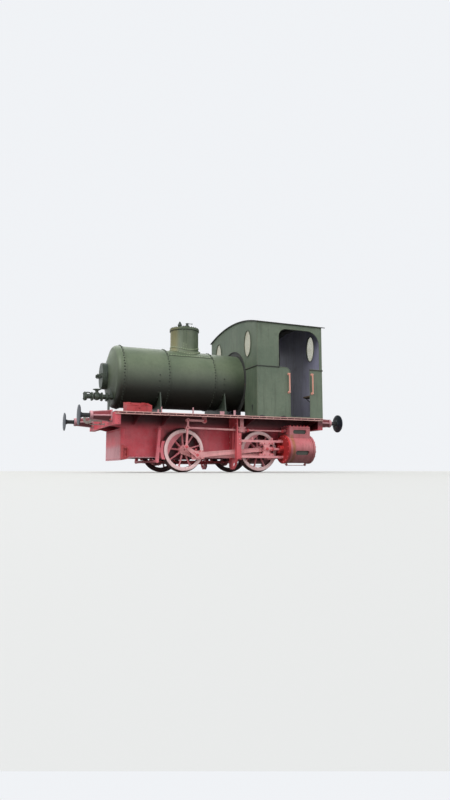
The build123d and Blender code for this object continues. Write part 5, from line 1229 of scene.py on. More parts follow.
# Buffers
@dataclass
class Buffers:
    """Ribbed buffer cases on bolted bases and domed heads on their stems."""

    beam_x: float = 2.18  # face of the beams
    y: float = 0.875  # distance of the buffers from the middle
    z: float = 1.04  # height of the buffers
    face_x: float = 2.785  # face of the heads
    radius: float = 0.188  # radius of the heads

    def build(self) -> None:
        """Shapes the front left buffer and mirrors it to the other three places."""
        cases, ribs, bolts, heads, stems = (Shaper() for _ in range(5))
        self._case(cases, ribs, bolts)
        self._head(heads, stems)
        for kit in (cases, ribs, bolts, heads, stems):
            kit.mirrored(Axis.X)
        cases.finish("buffer_housings", "case_red", "motion_red", "buffer_cases", angle=40.0, both=True)
        ribs.finish("buffer_ribs", "case_pink", "motion_red", angle=40.0, both=True)
        bolts.finish("buffer_bolts", "motion_red", "frame_red", both=True)
        heads.finish("buffer_heads", "buffer_blue", "buffer_steel", "buffer_plungers", both=True)
        stems.finish("buffer_stems", "buffer_black", "buffer_steel", both=True)

    def _case(self, cases: Shaper, ribs: Shaper, bolts: Shaper) -> None:
        """Adds a case with its ribs and bolts.

        Args:
            cases: Gathers the cases.
            ribs: Gathers the bases, ribs and collars.
            bolts: Gathers the bolts.
        """
        x, y, z, corner = self.beam_x, self.y, self.z, 0.02
        base = []
        for across, up, start in ((1, 1, 0), (-1, 1, 90.0), (-1, -1, 180.0), (1, -1, 270.0)):
            middle = (y + across * (0.15 - corner), z + up * (0.108 - corner))
            base += [(middle[0] + a, middle[1] + b) for a, b in arc(corner, start, start + 90.0, 3)]
        ribs.plate(base, Axis.X, x, x + 0.024, bevel=0.003)
        cone = [(0.02, 0.05), (0.02, 0.106), (0.04, 0.102), (0.06, 0.094), (0.356, 0.064), (0.356, 0.046),
            (0.33, 0.044), (0.33, 0.043)]
        cases.lathe(cone, (x, y, z), Axis.X, closed=True)
        collar = [(0.336, 0.046), (0.336, 0.078), (0.341, 0.084), (0.346, 0.086), (0.384, 0.086),
            (0.389, 0.083), (0.39, 0.078), (0.39, 0.046)]
        ribs.lathe(collar, (x, y, z), Axis.X, closed=True)
        for quarter in range(4):
            wide, narrow = (0.147, 0.136) if quarter % 2 == 0 else (0.106, 0.106)
            rib = [(x + 0.022, wide), (x + 0.046, narrow), (x + 0.34, 0.08), (x + 0.34, 0.06),
                (x + 0.022, 0.06)]
            turn = Matrix.Rotation(math.pi / 2 * (quarter + 1), 4, "X")
            with ribs.moved(Matrix.Translation((0, y, z)) @ turn):
                ribs.plate(rib, Axis.Y, -0.015, 0.015, bevel=0.006)
        bolts.nuts(grid(x + 0.024, (y - 0.122, y + 0.122), (z - 0.08, z + 0.08)), FRONT, 0.019, 0.016, 0.012)

    def _head(self, heads: Shaper, stems: Shaper) -> None:
        """Adds a domed head on its stem.

        Args:
            heads: Gathers the heads.
            stems: Gathers the stems.
        """
        radius, rim, x = self.radius, self.radius - 0.003, self.face_x
        profile = [(x - 0.06, 0), (x - 0.06, 0.046), (x - 0.046, 0.052), (x - 0.036, 0.07), (x - 0.03, 0.11),
            (x - 0.027, radius - 0.004), (x - 0.024, radius), (x - 0.014, radius)]
        profile += [(x - 0.011 * share ** 2, rim * share) for share in spaced(1, 0, 0.125)]
        heads.lathe(profile, (0, self.y, self.z), Axis.X, steps=56)
        stem = [(self.beam_x + 0.3, 0), (self.beam_x + 0.3, 0.0415), (x - 0.075, 0.0415), (x - 0.073, 0.052),
            (x - 0.058, 0.052), (x - 0.056, 0)]
        stems.lathe(stem, (0, self.y, self.z), Axis.X, steps=32)


# Cab
@dataclass
class Cab:
    """Trim, rivets, window rims, planks and the driver's things in the cab."""

    front: float = -0.664  # outer face of the front wall
    rear: float = -2.176  # outer face of the rear wall
    half_width: float = 1.22  # outer face of the sides
    waist: float = 2.128  # height of the half-round strip
    eave: float = 3.035  # height where roof and side meet
    rise: float = 0.172  # how far the roof's middle stands above the eaves
    hole: float = 0.694  # radius of the front wall's cut-out round the vessel
    window: Pair = (0.775, 2.655)  # middle of the left oval windows, across and up
    rim: Pair = (0.156, 0.275)  # half width and half height of a window's rim
    doorway: Pair = (-1.882, -1.412)  # rear and front edge of the doorway
    opening: Pair = (-2.12, -1.15)  # rear and front edge of the opening above it
    roof_over: float = 0.026  # how far the roof's edge lies outside the sides
    roof_ends: Pair = (-0.638, -2.25)  # front and rear edge of the roof
    roof_thick: float = 0.014  # thickness of the roof
    head: float = -1.244  # place of the vessel's rear head

    def build(self) -> None:
        """Builds everything on and in the cab."""
        self._beads()
        self._rims()
        self._collar()
        self._rivets()
        self._roof()
        self._openings()
        self._rails()
        self._planks()
        self._pipes()
        self._gauge()
        self._braces()

    def __post_init__(self) -> None:
        """Works out the radius and the middle of the walls' arched top."""
        self.bend = (self.half_width ** 2 + self.rise ** 2) / (2.0 * self.rise)
        self.centre = self.eave + self.rise - self.bend

    def _arch(self, y: float, lift: float = 0.0) -> float:
        """Height of the walls' arched top, or of a line above it, at a distance from the middle."""
        return self.centre + math.sqrt((self.bend + lift) ** 2 - y ** 2)

    def _beads(self) -> None:
        """Half-round strips along the waist, with a knob where each ends."""
        kit, z, low, y = Shaper(), self.waist, self.waist - 0.016, self.half_width + 0.005
        gap = math.sqrt(self.hole ** 2 - (z - VESSEL_Z) ** 2)
        front, rear = self.front + 0.005, self.rear - 0.005
        runs = (((self.opening[1], y, z), (self.front, y, z)),
            ((self.rear, y, low), (self.doorway[0], y, low)))
        for start, end in (*runs, ((front, y, z), (front, gap, z)), ((rear, y - 0.01, low), (rear, 0, low))):
            kit.rod(start, end, 0.012, sides=12)
        for spot in (*runs[0], *runs[1]):
            kit.ball(spot, 0.0165, sides=12)
        kit.finish("waist_strips", "bead_dark", "cab_green", "waist_beading", both=True)

    def _rims(self) -> None:
        """Rounded oval rims with their screws on both sides of each window."""
        def oval(x: float, count: int, first: float = 0.0) -> list[Point]:
            """Points round the left window."""
            ring = [polar(1, first + 360.0 * n / count) for n in range(count)]
            return [(x, self.window[0] + self.rim[0] * y, self.window[1] + self.rim[1] * z) for y, z in ring]
        kit = Shaper()
        for wall, out in ((self.front, 1), (self.rear, -1)):
            kit.tube(oval(wall + out * 0.003, 48), 0.011, sides=8, looped=True)
            kit.tube(oval(wall - out * 0.01, 48), 0.009, sides=8, looped=True)
            kit.rivets(oval(wall + out * 0.012, 10, 18.0), (out, 0, 0), 0.006, 0.004)
        kit.finish("window_surrounds", "rim_green", "cab_green", "window_rims", both=True)

    def _collar(self) -> None:
        """Closing plate and lip between the vessel and the front wall, near-black as painted shade in the gap
        there.
        """
        def hoop(radius: float, below: float, steps: int = 48) -> list[Pair]:
            """Points over the vessel, from so many radians below its axis on one side to the other."""
            dip = math.degrees(below)
            return [(y, VESSEL_Z + z) for y, z in arc(radius, -dip, 180.0 + dip, steps)]
        kit = Shaper()
        inner, outer = 0.5985, self.hole + 0.035
        outline = hoop(outer, math.asin((VESSEL_Z - FLOOR_Z - 0.09) / outer)) + hoop(inner, 1.1)[::-1]
        kit.plate(outline, Axis.X, self.front - 0.014, self.front - 0.0085)
        kit.tube([(self.front + 0.001, *spot) for spot in hoop(self.hole, 0.72, 60)], 0.009, sides=8)
        kit.finish("vessel_collar", "roof_black", "roof_black")

    def _rivets(self) -> None:
        """Small rivets along the corner angles, the foot and the eaves, and the rounded edges."""
        kit, size, y = Shaper(), (0.0085, 0.0055), self.half_width
        foot, pitch = FLOOR_Z + 0.028, 0.075
        heights = spaced(FLOOR_Z + 0.04, self.waist - 0.05, pitch) + spaced(self.waist + 0.05,
            self.eave - 0.04, pitch)
        places = spaced(self.doorway[1] + 0.04, self.front - 0.06, pitch)
        places += spaced(self.rear + 0.06, self.doorway[0] - 0.04, pitch)
        kit.rivets(grid((self.front - 0.026, self.rear + 0.026), y, heights), LEFT, *size)
        kit.rivets(grid(places, y, foot), LEFT, *size)
        kit.rivets(grid(spaced(self.rear + 0.06, self.front - 0.06, 0.085), y, self.eave - 0.022), LEFT,
            *size)
        kit.rivets(grid(spaced(self.opening[0] + 0.02, self.opening[1] + 0.02, 0.09), y, 2.96), LEFT, *size)
        for x, out, low in ((self.front, FRONT, 0.66), (self.rear, REAR, 0.04)):
            column = [z for z in spaced(FLOOR_Z + 0.04, self.eave - 0.02, pitch)
                if abs(z - self.waist) > 0.035]
            kit.rivets(grid(x, y - 0.026, column), out, *size)
            kit.rivets(grid(x, spaced(low, y - 0.06, 0.085), foot), out, *size)
            kit.rivets([(x, across, self._arch(across) - 0.024) for across in spaced(0.04, y - 0.06, 0.09)],
                out, *size)
        hoop = arc(self.hole + 0.03, -38.0, 88.0, 18)
        kit.rivets([(self.front, dy, VESSEL_Z + dz) for dy, dz in hoop], FRONT, *size)
        for x in (self.front - 0.0025, self.rear + 0.0025):
            kit.rod((x, y - 0.003, FLOOR_Z + 0.01), (x, y - 0.003, self.eave - 0.01), 0.0055, sides=8)
        self._edges(kit, y - 0.004)
        kit.finish("cab_rivets", "cab_green", "cab_green", both=True)

    def _edges(self, kit: Shaper, y: float) -> None:
        """Adds the rolled edges of the left doorway and of the opening above it.

        Args:
            kit: Gathers the cab's rivets and edges.
            y: Distance of the edges from the middle.
        """
        step, ahead, behind, top, radius = 0.11, 0.17, 0.29, 2.935, 0.009
        for x, z in ((self.doorway[1], self.waist - step), (self.doorway[0], self.waist)):
            kit.rod((x, y, FLOOR_Z + 0.02), (x, y, z), radius, sides=10)
        bend = [(self.doorway[1] + step - a, y, self.waist - step + b) for a, b in arc(step, 0, 90.0, 9)]
        kit.tube(bend + [(self.opening[1], y, self.waist)], radius, sides=10)
        frame = [(self.opening[1], y, self.waist)]
        frame += [(self.opening[1] - ahead + a, y, top - ahead + b) for a, b in arc(ahead, 0, 90.0, 9)]
        frame += [(self.opening[0] + behind - b, y, top - behind + a) for a, b in arc(behind, 0, 88.0, 11)]
        frame += [(self.opening[0], y, self.waist - 0.004), (self.doorway[0], y, self.waist - 0.004)]
        kit.tube(frame, radius, sides=10)

    def _openings(self) -> None:
        """Dark arched sheets at the foot of the sides and a dark disc in the front wall, painted shade
        standing for holes, with drips below the disc.
        """
        kit, y, disc_y = Shaper(), self.half_width + 0.0004, 0.985
        for x in (-0.765, -1.245):
            arch = [(x + 0.062 * a, FLOOR_Z + 0.002 + 0.03 * b) for a, b in arc(1, 0, 180.0, 14)]
            kit.plate(arch, Axis.Y, y - 0.0012, y + 0.0012)
        kit.rod((self.front - 0.002, disc_y, 1.335), (self.front + 0.0012, disc_y, 1.335), 0.03, sides=20)
        for y, drop, wide in ((disc_y - 0.01, 0.085, 0.006), (disc_y + 0.004, 0.13, 0.008),
                (disc_y + 0.016, 0.06, 0.005)):
            narrow, low = wide * 0.3, 1.31 - drop
            drip = [(y - wide, 1.325), (y + wide, 1.325), (y + narrow, low), (y - narrow, low)]
            kit.plate(drip, Axis.X, self.front - 0.001, self.front + 0.0006)
        kit.finish("cab_openings", "buffer_black", "cab_green", both=True)

    def _roof(self) -> None:
        """Lap strips over the roof, its rolled edges, the gutters and the ribs below it."""
        half = self.half_width + self.roof_over
        front, rear = self.roof_ends

        def over(lift: float) -> list[Pair]:
            """Points across the roof's top."""
            return [(y, self._arch(y, self.roof_thick + lift)) for y in spaced(-half, half, half / 16)]
        kit = Shaper()
        for x in (front - 0.5, front - 1.02):
            kit.plate(over(-0.001) + over(-0.008)[::-1], Axis.X, x - 0.03, x + 0.03)
            for y, dx in product(spaced(0.21, 1.15, 0.082), (-0.018, 0.018)):
                z = self._arch(y, self.roof_thick - 0.001)
                kit.rivets([(x + dx, y, z)], (0, y, z - self.centre), 0.006, 0.004)
                kit.rivets([(x + dx, -y, z)], (0, -y, z - self.centre), 0.006, 0.004)
        for x in (front - 0.006, rear + 0.006):
            kit.tube([(x, *spot) for spot in over(-0.011)], 0.008, sides=8)
        low, seam = self._arch(half, self.roof_thick) - 0.009, self._arch(1.205, self.roof_thick - 0.001)
        for side in Side:
            y = side.value * half
            kit.rod((front - 0.002, y, low), (rear + 0.002, y, low), 0.0085, sides=10)
            y = side.value * 1.205
            kit.rivets(grid(spaced(rear + 0.05, front - 0.05, 0.11), y, seam), (0, y, seam - self.centre),
                0.006, 0.004)
        inside = over(0)[2:-2]
        rib = [(y, z - 0.02) for y, z in inside] + [(y, z - 0.06) for y, z in inside[::-1]]
        for x in (front - 0.25, front - 0.77, front - 1.28):
            kit.plate(rib, Axis.X, x - 0.004, x + 0.004)
        kit.finish("roof_trim", "roof_black", "roof_black")

    def _rails(self) -> None:
        """Smooth handrails with turned feet."""
        kit, wall, y = Shaper(), self.half_width, self.half_width + 0.046
        for x, top in ((self.doorway[1] + 0.034, 2.01), (self.doorway[0] - 0.04, 2.03)):
            kit.rod((x, y, 1.606), (x, y, top - 0.006), 0.0148, sides=20)
            for z in (1.618, top - 0.018):
                kit.ball((x, y, z), 0.0205, (1, 0.72, 1), sides=16)
                kit.rod((x, wall + 0.004, z), (x, y, z), 0.0125, 0.01, sides=14)
                kit.rod((x, wall - 0.002, z), (x, wall + 0.007, z), 0.026, sides=18, bevel=0.002)
        kit.finish("cab_handrails", "rail_red", "rail_red", "handrails", both=True)

    def _planks(self) -> None:
        """Floor boards with narrow gaps, and the driver's folding seat boards."""
        kit, width, pitch, count = Shaper(), 0.145, 0.149, 16
        for n in range(count):
            y = (n - count / 2) * pitch
            kit.box((self.rear + 0.012, y, FLOOR_Z + 0.0005),
                (self.front - 0.012, y + width, FLOOR_Z + 0.021), 0.002)
        for side in Side:
            y = side.value * 1.02
            kit.box((-2.155, y - 0.17, 1.56), (-1.93, y + 0.17, 1.592), 0.006)
        kit.finish("cab_planks", "cab_floor", "cab_green")

    def _pipes(self) -> None:
        """Gauge pipe, steam pipe with its flanges, and the stop valve with its wheel."""
        pipes, wheel, head, y = Shaper(), Shaper(), self.head, -0.1
        gauge = ((0.03, 2.16), (-0.1, 2.16), (-0.13, 2.18), (-0.14, 2.22), (-0.14, 2.42))
        pipes.tube([(head + x, 0.3, z) for x, z in gauge], 0.01, sides=10)
        steam = ((0.02, 2.05), (-0.13, 2.05), (-0.17, 2.03), (-0.18, 1.98), (-0.18, 1.2), (-0.18, 1.11))
        pipes.tube([(head + x, y, z) for x, z in steam], 0.034, sides=16)
        drop = head - 0.18
        for z in (1.3, 1.92):
            pipes.rod((drop, y, z - 0.012), (drop, y, z + 0.012), 0.06, sides=20, bevel=0.003)
            pipes.nuts(around(Axis.Z, (drop, y, z + 0.012), 6, 0.047), UP, 0.009, 0.008)
        pipes.rod((head + 0.04, y, 2.05), (head + 0.06, y, 2.05), 0.08, sides=24)
        hub = Vector((head - 0.3, y, 2.22))
        pipes.rod((head - 0.14, y, 2.07), hub, 0.012, sides=12)
        pipes.finish("cab_pipes", "fitting_green", "fitting_green")
        out = Vector((-0.16, 0, 0.15)).normalized()
        up = out.cross(Vector(LEFT))

        def spot(radius: float, degrees: float) -> Vector:
            """Point in the wheel's plane."""
            a, c = polar(radius, degrees)
            return hub + Vector(LEFT) * a + up * c
        wheel.tube([spot(0.105, 11.25 * n) for n in range(32)], 0.0095, sides=10, looped=True)
        for n in range(5):
            wheel.rod(hub, spot(0.103, 72.0 * n), 0.007, sides=10)
        wheel.rod(hub - out * 0.014, hub + out * 0.02, 0.02, sides=18, bevel=0.003)
        wheel.finish("stop_valve_wheel", "motion_red", "motion_red")

    def _gauge(self) -> None:
        """Pressure gauge with its dial, marks and hand."""
        case, dial, marks = Shaper(), Shaper(), Shaper()
        x, y, z = self.head - 0.11, 0.3, 2.51
        profile = [(0, 0), (0, 0.088), (-0.006, 0.094), (-0.044, 0.094), (-0.05, 0.098), (-0.06, 0.098),
            (-0.062, 0.084), (-0.05, 0.082), (-0.05, 0)]
        case.lathe(profile, (x, y, z), Axis.X, steps=40)
        case.finish("gauge_case", "brass_dull", "fitting_green")
        face = x - 0.0505
        dial.rod((face + 0.0004, y, z), (face - 0.0012, y, z), 0.0815, sides=40)
        dial.finish("gauge_dial", "dial_white", "fitting_green")
        for n in range(13):
            degrees, half = 22.5 * n - 45.0, 0.01 if n % 3 == 0 else 0.006
            dy, dz = polar(0.069, degrees)
            marks.box((face - 0.0022, y + dy - half, z + dz - 0.0014),
                (face - 0.001, y + dy + half, z + dz + 0.0014),
                turn=Matrix.Rotation(math.radians(degrees), 4, "X"))
        marks.box((face - 0.003, y - 0.052, z - 0.0015), (face - 0.002, y + 0.02, z + 0.0015),
            turn=Matrix.Rotation(0.9, 4, "X"))
        marks.rod((face - 0.001, y, z), (face - 0.0042, y, z), 0.007, sides=16)
        marks.finish("gauge_marks", "bead_dark", "fitting_green")

    def _braces(self) -> None:
        """Braces below the seat boards."""
        kit = Shaper()
        for y in (0.9, 1.14):
            kit.rod((-2.166, y, 1.4), (-1.97, y, 1.555), 0.009, sides=10)
            kit.rod((-2.166, y, 1.553), (-1.94, y, 1.553), 0.008, sides=10)
        kit.finish("seat_braces", "bead_dark", "fitting_green", both=True)


# Cylinders and guides
@dataclass
class Cylinder:
    """Studs, plugs, slots and cocks of one cylinder, and its guides' bolts, shaped on the left."""

    side: Side  # side of the locomotive
    y: float = 0.987  # distance of its axis from the middle
    z: float = 0.466  # height of its axis
    front: float = -1.342  # front end
    rear: float = -1.958  # rear end
    cover: float = 0.262  # radius of the nuts' circle on the covers
    chest: Pair = (-1.422, -1.902)  # front and rear end of the steam chest
    chest_y: Pair = (0.812, 1.15)  # inner and outer face of the chest
    chest_top: float = 0.932  # top of the chest

    def build(self) -> None:
        """Builds the studs, the trim and the guides' bolts."""
        self._studs()
        self._trim()
        self._slots()
        self._guides()

    def _studs(self) -> None:
        """Nuts round both covers, the glands and the chest's lid."""
        kit, y, z = Shaper(), self.y, self.z
        for n, (dy, dz) in enumerate(arc(self.cover, 11.25, 348.75, 15)):
            kit.nut((self.front, y + dy, z + dz), FRONT, 0.0165, 0.012, spin=0.3 * n)
            kit.nut((self.rear, y + dy, z + dz), REAR, 0.0175, 0.015, stud=0.01, spin=0.3 * n)
        kit.nuts(around(Axis.X, (self.rear - 0.034, y, z), 8, 0.094), REAR, 0.012, 0.01, 0.006)
        kit.nuts(grid(self.front + 0.086, y, (z - 0.056, z + 0.056)), FRONT, 0.012, 0.011, 0.01)
        (front, rear), (inner, outer) = self.chest, self.chest_y
        lid = grid(spaced(front - 0.035, rear + 0.035, 0.082), (inner + 0.04, outer - 0.028), self.chest_top)
        lid += grid((front - 0.03, rear + 0.03), spaced(inner + 0.09, outer - 0.08, 0.075), self.chest_top)
        kit.nuts(lid, UP, 0.015, 0.014, 0.01)
        for x, out in ((front, FRONT), (rear, REAR)):
            kit.nuts(grid(x, (0.9, 1.056), (0.79, 0.886)), out, 0.014, 0.012, 0.008)
        kit.finish("cylinder_studs", "motion_red", "cylinder_red", side=self.side)

    def _trim(self) -> None:
        """Raised bands of the casing, rounded middle of the rear cover, cocks and the chest's lid plate."""
        kit, y, z = Shaper(), self.y, self.z
        for x in (self.front - 0.066, self.rear + 0.066):
            band = [(-0.016, 0.276), (-0.016, 0.282), (-0.012, 0.2835), (0.012, 0.2835), (0.016, 0.282),
                (0.016, 0.276)]
            kit.lathe(band, (x, y, z), Axis.X, steps=56, closed=True)
        dish = [(0, 0.236), (-0.006, 0.232), (-0.016, 0.2), (-0.022, 0.16), (-0.026, 0.125), (-0.026, 0.05),
            (0.004, 0.05), (0.004, 0.236)]
        kit.lathe(dish, (self.rear, y, z), Axis.X, closed=True)
        kit.box((self.chest[1] + 0.006, self.chest_y[0] + 0.012, self.chest_top - 0.034),
            (self.chest[0] - 0.006, self.chest_y[1] + 0.004, self.chest_top - 0.018), 0.004)
        for x in (self.front - 0.09, self.rear + 0.09):
            kit.rod((x, y, 0.186), (x, y, 0.196), 0.03, sides=18, bevel=0.002)
            kit.rod((x, y, 0.152), (x, y, 0.17), 0.024, sides=14, bevel=0.002)
            kit.rod((x - 0.026, y, 0.161), (x + 0.034, y, 0.161), 0.009, sides=10)
        kit.rod((self.front - 0.1, y - 0.012, 0.142), (self.rear + 0.1, y - 0.012, 0.142), 0.006, sides=8)
        kit.finish("cylinder_trim", "cylinder_red", "cylinder_red", side=self.side)

    def _slots(self) -> None:
        """Near-black floors of the two long slots, painted shade in them."""
        kit, middle, straight, tall = Shaper(), sum(self.chest) / 2, 0.113, 0.0415
        for z, y in ((0.822, self.chest_y[1] - 0.0255), (0.392, self.y + 0.2385)):
            outline = []
            for x, first in ((middle + straight, -90.0), (middle - straight, 90.0)):
                outline += [(x + a, z + b) for a, b in arc(tall, first, first + 180.0, 12)]
            kit.plate(outline, Axis.Y, y, y + 0.002)
        kit.finish("cylinder_slots", "bead_dark", "roof_black", side=self.side)

    def _guides(self) -> None:
        """Bolts and oil cups of the slide bars and the nuts of the motion plate."""
        kit, y, plate = Shaper(), self.y, -0.3
        for z, lift, out in ((self.z + 0.157, 0.023, UP), (self.z - 0.157, -0.023, DOWN)):
            spots = grid((-1.3, -1.262, -0.372, -0.404), (y - 0.018, y + 0.018), z + lift)
            kit.nuts(spots, out, 0.012, 0.01, 0.006)
            kit.nuts(grid((-1.3, -0.372), y + 0.035, z), LEFT, 0.013, 0.01, 0.008)
        cup = [(0, 0), (0, 0.012), (0.01, 0.012), (0.012, 0.019), (0.04, 0.019), (0.044, 0.015),
            (0.048, 0.007), (0.056, 0.006), (0.057, 0)]
        for x in (-1.1, -0.66):
            kit.lathe(cup, (x, y, self.z + 0.18), Axis.Z, steps=16)
        kit.rivets(grid(plate, 0.672, spaced(0.16, 1.04, 0.11)), FRONT, 0.011, 0.008)
        kit.rivets(grid(plate, (0.97, 1.005), (0.96, 1.04)), FRONT, 0.01, 0.008)
        kit.nuts(grid(-0.355, 1.034, (0.56, 0.66, 0.74)), LEFT, 0.013, 0.01, 0.006)
        kit.finish("guide_bolts", "motion_pink", "motion_red", side=self.side)


# Rods
@dataclass
class Motion:
    """Nuts, oil cups, wedges and pins on one side's rods, shaped on the left."""

    side: Side  # side of the locomotive
    throw: float = 0.24  # radius of the cranks
    cylinder_z: float = 0.466  # height of the cylinder's axis
    crosshead: float = -0.9718  # place of the crosshead's pin
    low: Pair = (0.746, 0.486)  # lower pin of the eccentric rod, along and up
    eye: Pair = (0.7229, 0.8575)  # pin of the valve rod, along and up
    top: Pair = (0.714, 1.002)  # upper pin of the eccentric rod, along and up
    valve_z: float = 0.838  # height of the valve rod
    valve_rod: float = 1.165  # distance from the valve rod's pin to its guide

    def pin(self, axle: str) -> Pair:
        """Place of a crank pin, along and up."""
        dx, dz = polar(self.throw, self.side.crank)
        return AXLES[axle] + dx, AXLE_Z + dz

    def build(self) -> None:
        """Builds the trim of every rod."""
        self._coupling()
        self._main()
        self._eccentric()
        self._crosshead()
        self._valve()

    def _cup(self, kit: Shaper, at: Point, tall: float = 0.042) -> None:
        """Adds an oil cup that stands on a rod.

        Args:
            kit: Gathers the rod's trim.
            at: The middle of its foot.
            tall: Its height.
        """
        cup = [(-0.004, 0), (-0.004, 0.014), (tall * 0.2, 0.014), (tall * 0.25, 0.018), (tall * 0.72, 0.018),
            (tall * 0.8, 0.012), (tall, 0.008), (tall * 1.02, 0)]
        kit.lathe(cup, at, Axis.Z, steps=16)

    def _finish(self, kit: Shaper, name: str, body: str, coat: str = "motion_red") -> None:
        """Hands a rod's trim over to the rod of its side."""
        kit.finish(name, coat, "motion_red", body=f"{body}_{self.side.word}", side=self.side)

    def _coupling(self) -> None:
        """Brasses, oil cups and bolts of the coupling rod."""
        kit, brass = Shaper(), Shaper()
        ring = [(0.8285, 0.04), (0.8275, 0.041), (0.8275, 0.051), (0.8285, 0.052), (0.8715, 0.052),
            (0.8724, 0.051), (0.8724, 0.041), (0.8715, 0.04)]
        for axle, height in (("front", 0.004), ("rear", 0.005)):
            x, z = self.pin(axle)
            self._cup(kit, (x, 0.85, z + 0.078))
            bolts = [polar(0.064, degrees) for degrees in (38, 142, 218, 322)]
            kit.nuts([(x + dx, 0.872, z + dz) for dx, dz in bolts], LEFT, 0.0085, height)
            brass.lathe(ring, (x, 0, z), Axis.Y, steps=32, closed=True)
        self._finish(kit, "coupling_rod_trim", "coupling_rod")
        self._finish(brass, "coupling_rod_bushes", "coupling_rod", "brass_dull")

    def _main(self) -> None:
        """Strap, wedge, brasses and cups of the main rod."""
        kit, brass, y = Shaper(), Shaper(), 0.902
        x, z = self.pin("front")
        big, small = Vector((x, 0, z)), Vector((self.crosshead, 0, self.cylinder_z))
        turn = Matrix.Rotation(-math.atan2(small.z - z, small.x - x), 4, "Y")

        def spot(along: float, up: float, across: float) -> Vector:
            """Point on the rod from its big end's pin."""
            return big + turn.to_3x3() @ Vector((along, 0, -up)) + Vector((0, across, 0))
        kit.nuts([spot(*at) for at in grid((0.075, 0.135), (0.066, -0.066), 0.924)], LEFT, 0.012, 0.0055)
        for along, half, bevel in ((-0.058, (0.003, 0.0228, 0.083), 0.001),
                (0.062, (0.003, 0.0228, 0.083), 0.001), (0.096, (0.01, 0.012, 0.092), 0.002)):
            middle = spot(along, 0, y)
            kit.box(middle - Vector(half), middle + Vector(half), bevel, turn)
        crown = spot(0, 0.084, y)
        self._cup(kit, (crown.x, y, z + 0.082), 0.048)
        self._cup(kit, (small.x, y, small.z + 0.056), 0.034)
        kit.nuts(around(Axis.Y, (small.x, 0.924, small.z), 4, 0.044, 45.0), LEFT, 0.007, 0.005)
        for place, inner, outer in ((big, 0.04, 0.056), (small, 0.029, 0.038)):
            ring = [(0.8805, inner), (0.8795, inner + 0.001), (0.8795, outer - 0.001), (0.8805, outer),
                (0.9235, outer), (0.9245, outer - 0.001), (0.9245, inner + 0.001), (0.9235, inner)]
            brass.lathe(ring, place, Axis.Y, steps=32, closed=True)
        self._finish(kit, "main_rod_trim", "main_rod")
        self._finish(brass, "main_rod_bushes", "main_rod", "brass_dull")

    def _eccentric(self) -> None:
        """Bolts of the eccentric rod's foot and of the return crank."""
        kit, arm = Shaper(), Shaper()
        low_x, low_z = self.low
        kit.nuts(around(Axis.Y, (low_x, 1.012, low_z), 3, 0.036, 30.0), LEFT, 0.0055, 0.0035)
        self._finish(kit, "eccentric_rod_bolts", "eccentric_rod")
        x, z = self.pin("front")
        arm.nut((x, 0.972, z), LEFT, 0.034, 0.004)
        reach = Vector((low_x - x, 0, low_z - z)).normalized()
        arm.nuts([Vector((x, 0.972, z)) + reach * along for along in (0.055, 0.085)], LEFT, 0.012, 0.0042)
        cap = [(1.0215, 0), (1.0215, 0.026), (1.0235, 0.028), (1.0255, 0.026), (1.0265, 0.02), (1.0265, 0)]
        arm.lathe(cap, (low_x, 0, low_z), Axis.Y, steps=24)
        arm.finish("return_crank_bolts", "motion_red", "motion_red", body="front_axle_set", side=self.side)

    def _crosshead(self) -> None:
        """Nut, cotter and gib bolts of the crosshead."""
        kit, x, y, z = Shaper(), self.crosshead, 0.987, self.cylinder_z
        kit.nut((x, y + 0.047, z), LEFT, 0.032, 0.02, stud=0.012)
        kit.box((x - 0.098, y - 0.055, z - 0.016), (x - 0.08, y + 0.055, z + 0.016), 0.003)
        gibs = grid([x + dx for dx in (-0.115, -0.055, 0.055, 0.115)], y + 0.035, (z - 0.115, z + 0.115))
        kit.nuts(gibs, LEFT, 0.011, 0.009, 0.006)
        for up, dx in product((1, -1), (-0.145, 0.145)):
            kit.rod((x + dx, y, z + up * 0.098), (x + dx * 1.02, y, z + up * 0.078), 0.01, sides=12)
        ring = [(0, 0.0275), (0, 0.04), (-0.004, 0.044), (-0.022, 0.044), (-0.026, 0.04), (-0.026, 0.0275)]
        kit.lathe(ring, (x - 0.12, y, z), Axis.X, steps=24, closed=True)
        kit.finish("crosshead_bolts", "motion_red", "motion_red", side=self.side)

    def _valve(self) -> None:
        """Pins, knob and guide bolts of the valve motion."""
        kit, z, knob = Shaper(), self.valve_z, (0.348, 0.998)
        guide = self.eye[0] - math.sqrt(self.valve_rod ** 2 - (self.eye[1] - z) ** 2)
        for (x, up), size in ((self.eye, 0.017), (self.top, 0.015), (knob, 0.021)):
            kit.nut((x, 0.964, up), LEFT, size, 0.01)
        kit.ball((knob[0], 0.96, knob[1]), 0.036, (1, 0.45, 1))
        kit.nuts(grid((guide - 0.045, guide + 0.045), 0.97, (z - 0.026, z + 0.026)), LEFT, 0.01, 0.009, 0.005)
        clamp = [(0, 0.016), (0, 0.032), (0.004, 0.036), (0.034, 0.036), (0.038, 0.032), (0.038, 0.016)]
        kit.lathe([(-along, radius) for along, radius in clamp], (guide - 0.1, 0.978, z), Axis.X, 24,
            closed=True)
        kit.lathe(clamp, (-1.362, 0.978, z), Axis.X, 24, closed=True)
        self._cup(kit, (guide, 0.95, 0.904), 0.038)
        kit.nuts(grid((0.318, 0.378), 0.932, 1.06), LEFT, 0.011, 0.01, 0.005)
        kit.finish("valve_bolts", "motion_red", "motion_red", side=self.side)


LEFT_MOTION = Motion(Side.LEFT)
RIGHT_MOTION = Motion(Side.RIGHT, crosshead=-0.638, low=(0.672, 0.454), eye=(0.7014, 0.8251),
    top=(0.7129, 0.9694))


